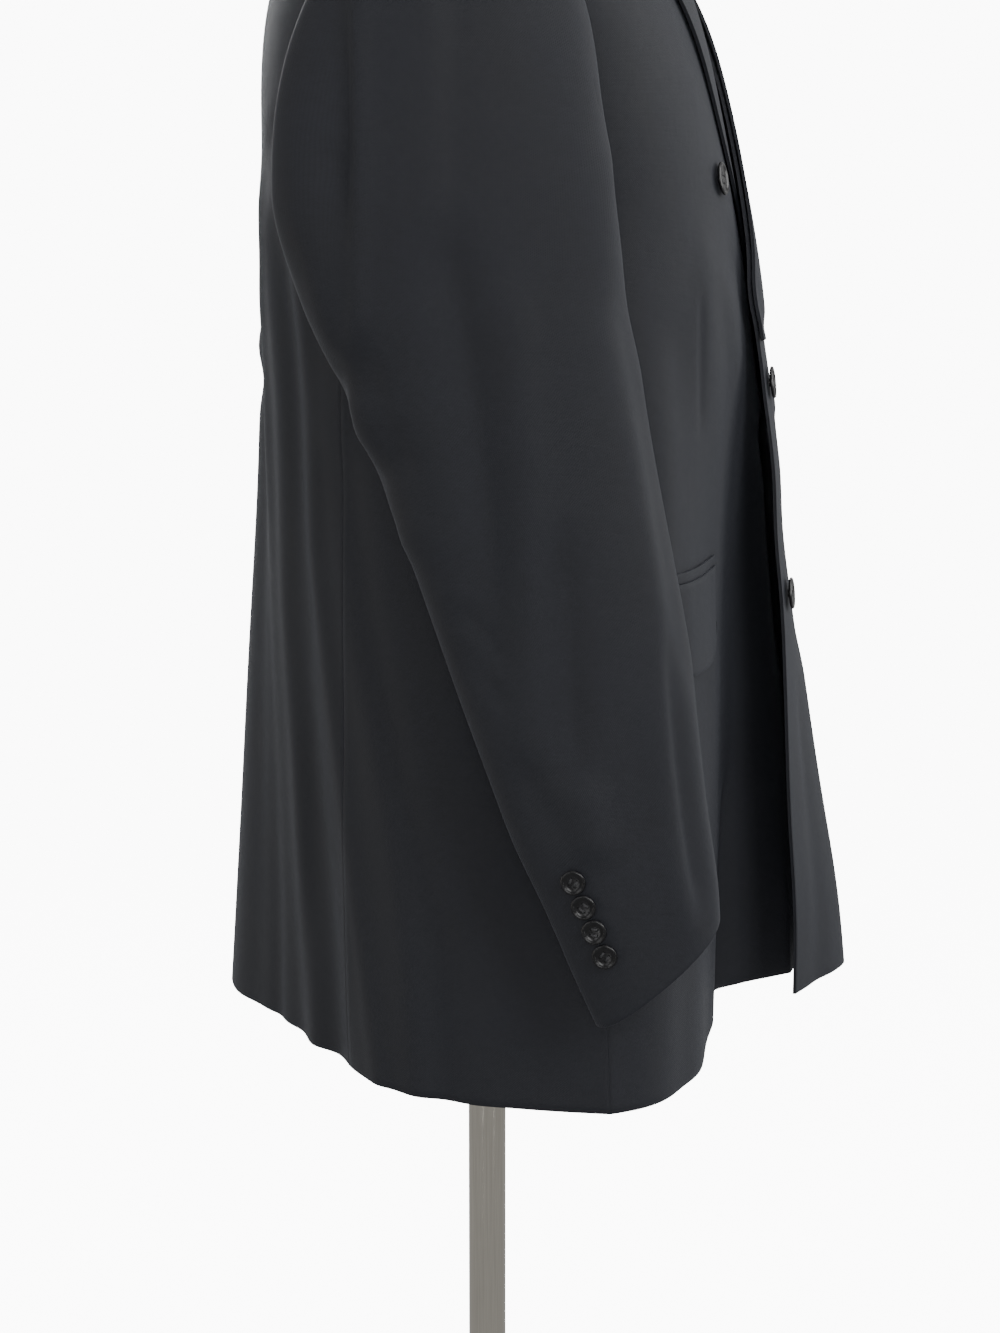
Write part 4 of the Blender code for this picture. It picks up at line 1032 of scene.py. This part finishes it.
@dataclass
class Jacket:
    """The jacket's cloth, all but its sleeves.

    Attributes:
        wool: the cloth's material.
    """

    wool: bpy.types.Material

    def panels(self) -> list[ClothPiece]:
        """The pieces and the sizes that they are cut to."""
        found = []
        for tag in ("left", "right"):
            front = ("front_" + tag,)
            found += [
                ClothPiece("back_" + tag, 0.25, 0.79, 0.165),
                ClothPiece("side_body_" + tag, 0.165, 0.51, 0.08),
                ClothPiece("front_" + tag, 0.43, 0.79, 0.25),
                ClothPiece("lapel_" + tag, 0.13, 0.32, 0.026, rests_on=front),
                ClothPiece("pocket_flap_" + tag, 0.15, 0.057, 0.0082, rests_on=front, hold=Hold.HUNG),
                ClothPiece("pocket_jet_" + tag, 0.15, 0.01, 0.0013, 2, rests_on=front, hold=Hold.FOLDED),
            ]
        backs = ("back_left", "back_right")
        found += [
            ClothPiece("breast_pocket_welt", 0.09, 0.025, 0.0022, rests_on=("front_left",), hold=Hold.FOLDED),
            ClothPiece("collar", 0.43, 0.09, 0.034, rests_on=backs, hold=Hold.FOLDED),
        ]
        return found

    def build(self) -> None:
        """Makes every piece."""
        for panel in self.panels():
            panel.build(BODY_FIELD, self.wool)


@dataclass
class Sleeve:
    """One two-piece sleeve.

    Attributes:
        side: -1 for the wearer's right and 1 for the left.
        wool: the cloth's material.
    """

    side: int
    wool: bpy.types.Material

    def build(self) -> None:
        """Makes the upper and the under sleeve."""
        tag = "left" if self.side > 0 else "right"
        rests = ("front_" + tag, "back_" + tag)
        creases = sleeve_field(self.side)
        cuts = (("upper_sleeve_", 0.25, 0.66, 0.135), ("under_sleeve_", 0.18, 0.56, 0.08))
        for name, width, length, area in cuts:
            piece = ClothPiece(name + tag, width, length, area, hold=Hold.HUNG, rests_on=rests)
            piece.build(creases, self.wool, ArmholeSeam(tag))


# ---------------------------------------------------------------------------- buttons


@dataclass(frozen=True)
class ButtonPattern:
    """Sizes of one kind of button, in millimetres.

    Attributes:
        size: its diameter.
        hole: diameter of each of its four holes.
        spread: distance between neighbouring holes.
        thread: thickness of its thread.
        strands: how many threads lie side by side over each pair of holes.
        thread_level: height of the threads' middle line above the foot.
        drill_level: height of the holes' middle above the foot.
        drill_depth: length of the drill that cuts them.
        sides: steps round the button.
        hole_sides: steps round a hole.
    """

    size: float
    hole: float
    spread: float
    thread: float = 0.42
    strands: int = 3
    thread_level: float = 2.75
    drill_level: float = 2.6
    drill_depth: float = 2.4
    sides: int = 64
    hole_sides: int = 16

    def profile(self) -> list[tuple[float, float]]:
        """Half outline from the shank's foot over the rim into the dish."""
        shares = (
            (0.26, 0.0), (0.26, 1.1), (0.62, 1.15), (0.9, 1.45), (0.985, 2.0), (1.0, 2.5), (0.985, 3.0),
            (0.93, 3.4), (0.86, 3.5), (0.79, 3.38), (0.74, 3.05), (0.69, 2.8), (0.5, 2.62), (0.2, 2.55),
            (0.04, 2.55),
        )
        return [(share * self.size / 2, height) for share, height in shares]

    def blank(self) -> bpy.types.Mesh:
        """A button with its four holes cut through."""
        body = bpy.data.objects.new("blank", turned_mesh("blank", self.profile(), self.sides))
        bpy.context.scene.collection.objects.link(body)
        drill = bmesh.new()
        half, radius = self.spread * MM / 2, self.hole * MM / 2
        size = {"radius1": radius, "radius2": radius, "depth": self.drill_depth * MM}
        for x, y in itertools.product((-half, half), repeat=2):
            place = Matrix.Translation((x, y, self.drill_level * MM))
            bmesh.ops.create_cone(drill, cap_ends=True, segments=self.hole_sides, matrix=place, **size)
        mesh = bpy.data.meshes.new("drill")
        drill.to_mesh(mesh)
        drill.free()
        cutter = bpy.data.objects.new("drill", mesh)
        bpy.context.scene.collection.objects.link(cutter)
        cut = body.modifiers.new("holes", "BOOLEAN")
        cut.operation = "DIFFERENCE"
        cut.solver = "EXACT"
        cut.object = cutter
        result = evaluated(body)
        bpy.data.objects.remove(body)
        bpy.data.objects.remove(cutter)
        return result


class ThreadTree:
    """Geometry Nodes that lay a button's threads from hole to hole.

    Attributes:
        sockets: its inputs with their types and first values; lengths are in metres.
        tree: the node tree.
        identifiers: its inputs' own names, under which a modifier sets them.
    """

    sockets = (
        ("Spread", "NodeSocketFloat", 0.005),
        ("Thickness", "NodeSocketFloat", 0.0004),
        ("Strands", "NodeSocketInt", 3),
        ("Level", "NodeSocketFloat", 0.0027),
    )

    def __init__(self, material: bpy.types.Material) -> None:
        self.tree = bpy.data.node_groups.new("button_thread", "GeometryNodeTree")
        self.identifiers: dict[str, str] = {}
        for label, kind, value in self.sockets:
            socket = self.tree.interface.new_socket(label, in_out="INPUT", socket_type=kind)
            socket.default_value = value
            self.identifiers[label] = socket.identifier
        self.tree.interface.new_socket("Geometry", in_out="OUTPUT", socket_type="NodeSocketGeometry")
        self.wire(material)

    def node(self, kind: str, values: dict) -> bpy.types.NodeSocket:
        """Adds a node and gives its first output."""
        return add_node(self.tree, kind, values).outputs[0]

    def times(self, first: object, second: object) -> bpy.types.NodeSocket:
        """The product of two sockets or numbers."""
        return maths(self.tree, "MULTIPLY", first, second)

    def vector(self, **parts: bpy.types.NodeSocket) -> bpy.types.NodeSocket:
        """A vector from its parts X, Y and Z; a part that isn't given is 0."""
        return self.node("ShaderNodeCombineXYZ", parts)

    def row(
        self, count: object, start: bpy.types.NodeSocket, step: bpy.types.NodeSocket
    ) -> bpy.types.NodeSocket:
        """Points in a row across the button, from start, a step apart."""
        values = {"Count": count, "Start Location": self.vector(Y=start), "Offset": self.vector(Y=step)}
        return self.node("GeometryNodeMeshLine", values)

    def arc(self, source: bpy.types.bpy_prop_collection) -> bpy.types.NodeSocket:
        """One thread: a tube that rises from one hole and falls into the next.

        Args:
            source: the tree's inputs.

        Returns:
            The tube.
        """
        half = self.times(source["Spread"], 0.5)
        spots = {}
        for label, side, rise in (("Start", -1.0, -1.2), ("Middle", 0.0, 1.5), ("End", 1.0, -1.2)):
            height = maths(self.tree, "ADD", source["Level"], self.times(source["Thickness"], rise))
            spots[label] = self.vector(X=self.times(half, side), Z=height)
        curve = self.node("GeometryNodeCurveQuadraticBezier", {"Resolution": 10, **spots})
        around = {"Resolution": 8, "Radius": self.times(source["Thickness"], 0.5)}
        ring = self.node("GeometryNodeCurvePrimitiveCircle", around)
        tube = {"Curve": curve, "Profile Curve": ring, "Fill Caps": True}
        return self.node("GeometryNodeCurveToMesh", tube)

    def wire(self, material: bpy.types.Material) -> None:
        """Wires the tree: threads side by side, over both pairs of holes."""
        source = add_node(self.tree, "NodeGroupInput").outputs
        spread, thickness = source["Spread"], source["Thickness"]
        gaps = maths(self.tree, "SUBTRACT", source["Strands"], 1.0)
        side = self.row(source["Strands"], self.times(self.times(gaps, thickness), -0.5), thickness)
        pair = self.row(2, self.times(spread, -0.5), spread)
        threads = self.arc(source)
        for points in (side, pair):
            threads = self.node("GeometryNodeInstanceOnPoints", {"Points": points, "Instance": threads})
        real = self.node("GeometryNodeRealizeInstances", {0: threads})
        dressed = self.node("GeometryNodeSetMaterial", {"Geometry": real, "Material": material})
        add_node(self.tree, "NodeGroupOutput", {0: dressed})

    def mesh(self, pattern: ButtonPattern) -> bpy.types.Mesh:
        """Runs the tree for one kind of button.

        Args:
            pattern: the button's sizes.

        Returns:
            A plain mesh of the threads, about the button's own axis.
        """
        holder = bpy.data.objects.new("threads", bpy.data.meshes.new("threads"))
        bpy.context.scene.collection.objects.link(holder)
        modifier = holder.modifiers.new("thread", "NODES")
        modifier.node_group = self.tree
        modifier[self.identifiers["Spread"]] = pattern.spread * MM
        modifier[self.identifiers["Thickness"]] = pattern.thread * MM
        modifier[self.identifiers["Strands"]] = pattern.strands
        modifier[self.identifiers["Level"]] = pattern.thread_level * MM
        result = evaluated(holder)
        bpy.data.objects.remove(holder)
        return result


@dataclass
class Buttons:
    """The sewn buttons, each at the place of its solid.

    Attributes:
        finishes: the part's finishes.
        front: sizes of a front button.
        cuff: sizes of a cuff button.
    """

    finishes: Finishes
    front: ButtonPattern = ButtonPattern(size=20.0, hole=1.9, spread=4.6)
    cuff: ButtonPattern = ButtonPattern(size=14.6, hole=1.6, spread=3.6)

    @staticmethod
    def hole_turn(number: int) -> float:
        """How far a button's holes are turned, in radians: no two alike, as on sewn buttons."""
        middle, reach, step = 0.5, 1.3, 2.3
        return middle + reach * math.sin(number * step)

    @staticmethod
    def seat(node: str, creases: CreaseField, turn: float) -> Matrix:
        """Where a button sits: its solid's foot and axis, moved with the cloth.

        Args:
            node: the button's CAD node.
            creases: the creases of the cloth that it is sewn to.
            turn: how far its holes are turned, in radians.

        Returns:
            The matrix from the button's own space.
        """
        points = coordinates(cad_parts[node].data)
        corners = np.unique(np.round(points, 6), axis=0)
        middle = (corners.max(axis=0) + corners.min(axis=0)) / 2
        _, _, axes = np.linalg.svd(corners - corners.mean(axis=0))
        normal = axes[2]
        if creases.axis.outward(middle[None, :])[0] @ normal < 0:
            normal = -normal
        depth = (corners - middle) @ normal
        foot = middle + normal * depth.min()
        shift = creases.moved(foot[None, :])[0] - foot
        face = Vector((0, 0, 1)).rotation_difference(Vector(normal))
        spin = Matrix.Rotation(turn, 4, "Z")
        return Matrix.Translation(Vector(foot + shift)) @ face.to_matrix().to_4x4() @ spin

    def build(self) -> None:
        """Makes every button and its threads."""
        tree = ThreadTree(self.finishes.thread)
        blanks = {pattern: (pattern.blank(), tree.mesh(pattern)) for pattern in (self.front, self.cuff)}
        names = sorted(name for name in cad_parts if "button_" in name)
        parts = (("_horn", self.finishes.horn), ("_thread", self.finishes.thread))
        for number, node in enumerate(names):
            pattern, creases = self.front, BODY_FIELD
            if node.startswith("cuff"):
                pattern, creases = self.cuff, sleeve_field(1 if "left" in node else -1)
            place = self.seat(node, creases, self.hole_turn(number))
            for mesh, (suffix, material) in zip(blanks[pattern], parts):
                own = mesh.copy()
                own.transform(place)
                piece = new_piece(node + suffix, own, material)
                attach(piece, ROOT)
                if suffix == "_horn":
                    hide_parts(node)
        LOG.info("buttons: %d", len(names))


# ---------------------------------------------------------------------------- dress form and stand


@dataclass(frozen=True)
class TurnedPart:
    """A turned part of the stand.

    Attributes:
        node: the CAD node that it replaces.
        profile: (radius, height) pairs above its lowest point, in millimetres.
        corner: how round its corners are.
        sides: steps round it.
    """

    node: str
    profile: Path2D
    corner: float
    sides: int = 96

    def build(self, material: bpy.types.Material, slot: Slot) -> bpy.types.Object:
        """Makes the part where its node is.

        Args:
            material: its finish.
            slot: its slot in the record; not used.

        Returns:
            The piece.
        """
        low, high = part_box(self.node)
        mesh = turned_mesh(self.node, rounded(self.profile, self.corner), self.sides)
        middle = (Vector(low) + Vector(high)) / 2
        mesh.transform(Matrix.Translation((middle.x, middle.y, low[2])))
        map_round(mesh, BODY_AXIS)
        piece = new_piece(self.node + "_turned", mesh, material)
        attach(piece, ROOT)
        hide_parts(self.node)
        return piece


@dataclass
class DressForm:
    """The padded torso, its neck, and the pole and base that carry it.

    Attributes:
        finishes: the part's finishes.
        pole_radius: radius of the pole, in millimetres.
        neck_radius: radius of the neck, in millimetres.
        base_radius: radius of the base, in millimetres.
    """

    finishes: Finishes
    pole_radius: float = 12.5
    neck_radius: float = 60.0
    base_radius: float = 170.0

    def build_torso(self) -> None:
        """Smooths the torso from its solid."""
        mesh = smoothed(recovered_grid("form_torso"), 2)
        map_round(mesh, BODY_AXIS)
        piece = new_piece("form_torso_cover", mesh, self.finishes.cover)
        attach(piece, ROOT)
        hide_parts("form_torso")

    def turned_parts(self) -> list[tuple[TurnedPart, bpy.types.Material, Slot]]:
        """The turned parts with their finishes."""
        neck, pole, base = self.neck_radius, self.pole_radius, self.base_radius
        cover, steel = self.finishes.cover, self.finishes.steel
        tall = (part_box("pole")[1][2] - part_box("pole")[0][2]) / MM
        stub = ((neck + 2, 0), (neck + 3, 3), (neck, 12), (neck - 1, 40), (neck - 3, 46), (5, 46))
        plate = ((neck - 3, 0), (neck - 1, 1.5), (neck - 1, 4.5), (neck - 3, 6))
        knob = ((14, 8), (12, 12), (15, 20), (10, 28), (2, 28))
        sleeve = ((pole + 5, 0), (pole + 8, 3), (pole + 8, 55))
        flange = ((pole + 22, 56), (pole + 22, 60), (pole + 20, 60))
        tube = ((pole - 0.6, 0), (pole, 0.6), (pole, tall - 0.6), (pole - 0.6, tall))
        disc = ((base - 0.8, 0), (base, 0.8), (base, 5), (base - 3, 7), (base / 2, 11))
        hub = ((26.5, 12), (21.5, 17), (19.5, 50), (18.5, 52))
        return [
            (TurnedPart("form_neck", stub, 3.0), cover, Slot.COVER),
            (TurnedPart("neck_cap", plate + knob, 1.6), steel, Slot.STEEL),
            (TurnedPart("torso_socket", sleeve + flange, 1.0), steel, Slot.STEEL),
            (TurnedPart("pole", tube, 0.3), steel, Slot.STEEL),
            (TurnedPart("base", disc + hub, 1.5, 128), steel, Slot.STEEL),
        ]

    def build(self) -> None:
        """Makes the form and its stand."""
        self.build_torso()
        for part, material, slot in self.turned_parts():
            part.build(material, slot)
            LOG.info("%s done", part.node)


# ---------------------------------------------------------------------------- studio


@dataclass(frozen=True)
class SoftLight:
    """A soft light from a rectangle.

    Attributes:
        name: its name.
        place: where it hangs, in metres.
        aim: the point that it faces.
        size: width and height in metres.
        power: watts.
        colour: its tint.
    """

    name: str
    place: tuple[float, float, float]
    aim: tuple[float, float, float]
    size: tuple[float, float]
    power: float
    colour: tuple[float, float, float] = (1.0, 1.0, 1.0)

    def build(self) -> None:
        """Adds the light to the scene."""
        data = bpy.data.lights.new(self.name, "AREA")
        data.shape = "RECTANGLE"
        data.size, data.size_y = self.size
        data.energy = self.power
        data.color = self.colour
        light = bpy.data.objects.new(self.name, data)
        light.location = self.place
        light.rotation_mode = "QUATERNION"
        light.rotation_quaternion = (Vector(self.aim) - Vector(self.place)).to_track_quat("-Z", "Y")
        bpy.context.scene.collection.objects.link(light)


@dataclass(frozen=True)
class Studio:
    """A pale cove, soft lights and the camera at the photograph's place.

    Attributes:
        camera_place: where the camera stands, in metres.
        camera_pitch: how far it looks down, in degrees.
        lens: its focal length in millimetres, on a sensor 36 mm wide.
        cove_radius: radius of the cove's wall, in metres.
        cove_flat: share of that radius that is flat floor.
        cove_height: height of the wall, as a share of the radius.
        cove_sides: steps round the cove.
        glow: strength of the cove's own light.
        air: strength of the light from all round.
        lights: the soft lights.
    """

    camera_place: tuple[float, float, float] = (-1.800, -0.00867, 1.312)
    camera_pitch: float = 11.44
    lens: float = 76.0
    cove_radius: float = 12.0
    cove_flat: float = 0.72
    cove_height: float = 0.9
    cove_sides: int = 96
    glow: float = 10.0
    air: float = 0.50
    lights: tuple[SoftLight, ...] = (
        SoftLight("key", (-1.9, -1.7, 2.5), (0.0, 0.0, 1.1), (1.2, 1.4), 62.0),
        SoftLight("back", (-1.5, 2.3, 1.9), (0.0, 0.0, 1.1), (0.7, 1.8), 15.0),
        SoftLight("front", (0.4, -2.6, 1.8), (0.0, 0.0, 1.0), (1.6, 1.8), 52.0),
        SoftLight("top", (0.0, 0.2, 3.4), (0.0, 0.0, 1.0), (2.0, 2.0), 30.0),
        SoftLight("side", (-2.7, 0.1, 1.5), (0.0, -0.1, 1.0), (0.8, 1.5), 27.0),
        SoftLight("strip_back", (-2.0, 0.9, 0.7), (0.0, 0.0, 0.6), (0.07, 1.3), 2.6),
        SoftLight("strip_front", (-1.6, -1.5, 0.7), (0.0, 0.0, 0.6), (0.05, 1.3), 2.2),
        SoftLight("strip_wall", (0.25, 2.4, 0.7), (0.0, 0.0, 0.6), (0.5, 1.3), 9.0, (1.0, 0.93, 0.82)),
        SoftLight("far", (2.3, 0.5, 2.0), (0.0, 0.0, 1.1), (1.3, 1.8), 60.0),
    )

    def build_cove(self) -> None:
        """A floor that curves up into a wall all round, so that every view has a pale ground."""
        radius, flat, steps = self.cove_radius, self.cove_flat, 12
        profile = [(0.02, 0.0), (radius * flat, 0.0)]
        for step in range(1, steps + 1):
            turn = step / steps * math.pi / 2
            reach, rise = math.sin(turn), 1 - math.cos(turn)
            profile.append((radius * (flat + (1 - flat) * reach), radius * (1 - flat) * rise))
        profile.append((radius, radius * self.cove_height))
        sheet = bmesh.new()
        sheet.faces.new(turned_rings(sheet, profile, self.cove_sides)[0])
        mesh = bpy.data.meshes.new("cove")
        sheet.to_mesh(mesh)
        sheet.free()
        cove = new_piece("cove", mesh, self.cove_material())
        cove.visible_diffuse = False
        cove.visible_glossy = False
        cove.visible_shadow = False

    def cove_material(self) -> bpy.types.Material:
        """Matte white paper that glows, so that it stays even."""
        material = bpy.data.materials.new("white_paper")
        material.use_nodes = True
        look = {
            "Base Color": (0.5, 0.5, 0.5, 1.0),
            "Roughness": 1.0,
            "Specular IOR Level": 0.0,
            "Emission Color": (1.0, 1.0, 1.0, 1.0),
            "Emission Strength": self.glow,
        }
        fill(material.node_tree, material.node_tree.nodes["Principled BSDF"], look)
        return material

    def build(self) -> None:
        """Adds the cove, the lights, the world and the camera."""
        self.build_cove()
        for light in self.lights:
            light.build()
        world = bpy.data.worlds.new("studio_air")
        world.use_nodes = True
        white = {"Color": (1.0, 1.0, 1.0, 1.0), "Strength": self.air}
        fill(world.node_tree, world.node_tree.nodes["Background"], white)
        bpy.context.scene.world = world
        data = bpy.data.cameras.new("camera")
        data.lens = self.lens
        data.sensor_width = 36.0
        data.clip_end = 50.0
        camera = bpy.data.objects.new("camera", data)
        camera.location = self.camera_place
        camera.rotation_euler = (math.radians(90 - self.camera_pitch), 0.0, math.radians(-90))
        bpy.context.scene.collection.objects.link(camera)
        bpy.context.scene.camera = camera


def main() -> None:
    """Builds the studio, the jacket, its buttons and the dress form, in that order."""
    logging.basicConfig(level=logging.INFO, format="%(name)s: %(message)s")
    Studio().build()
    finishes = Finishes()
    Jacket(finishes.wool).build()
    for side in (-1, 1):
        Sleeve(side, finishes.wool).build()
    Buttons(finishes).build()
    DressForm(finishes).build()


if __name__ == "__main__":
    main()
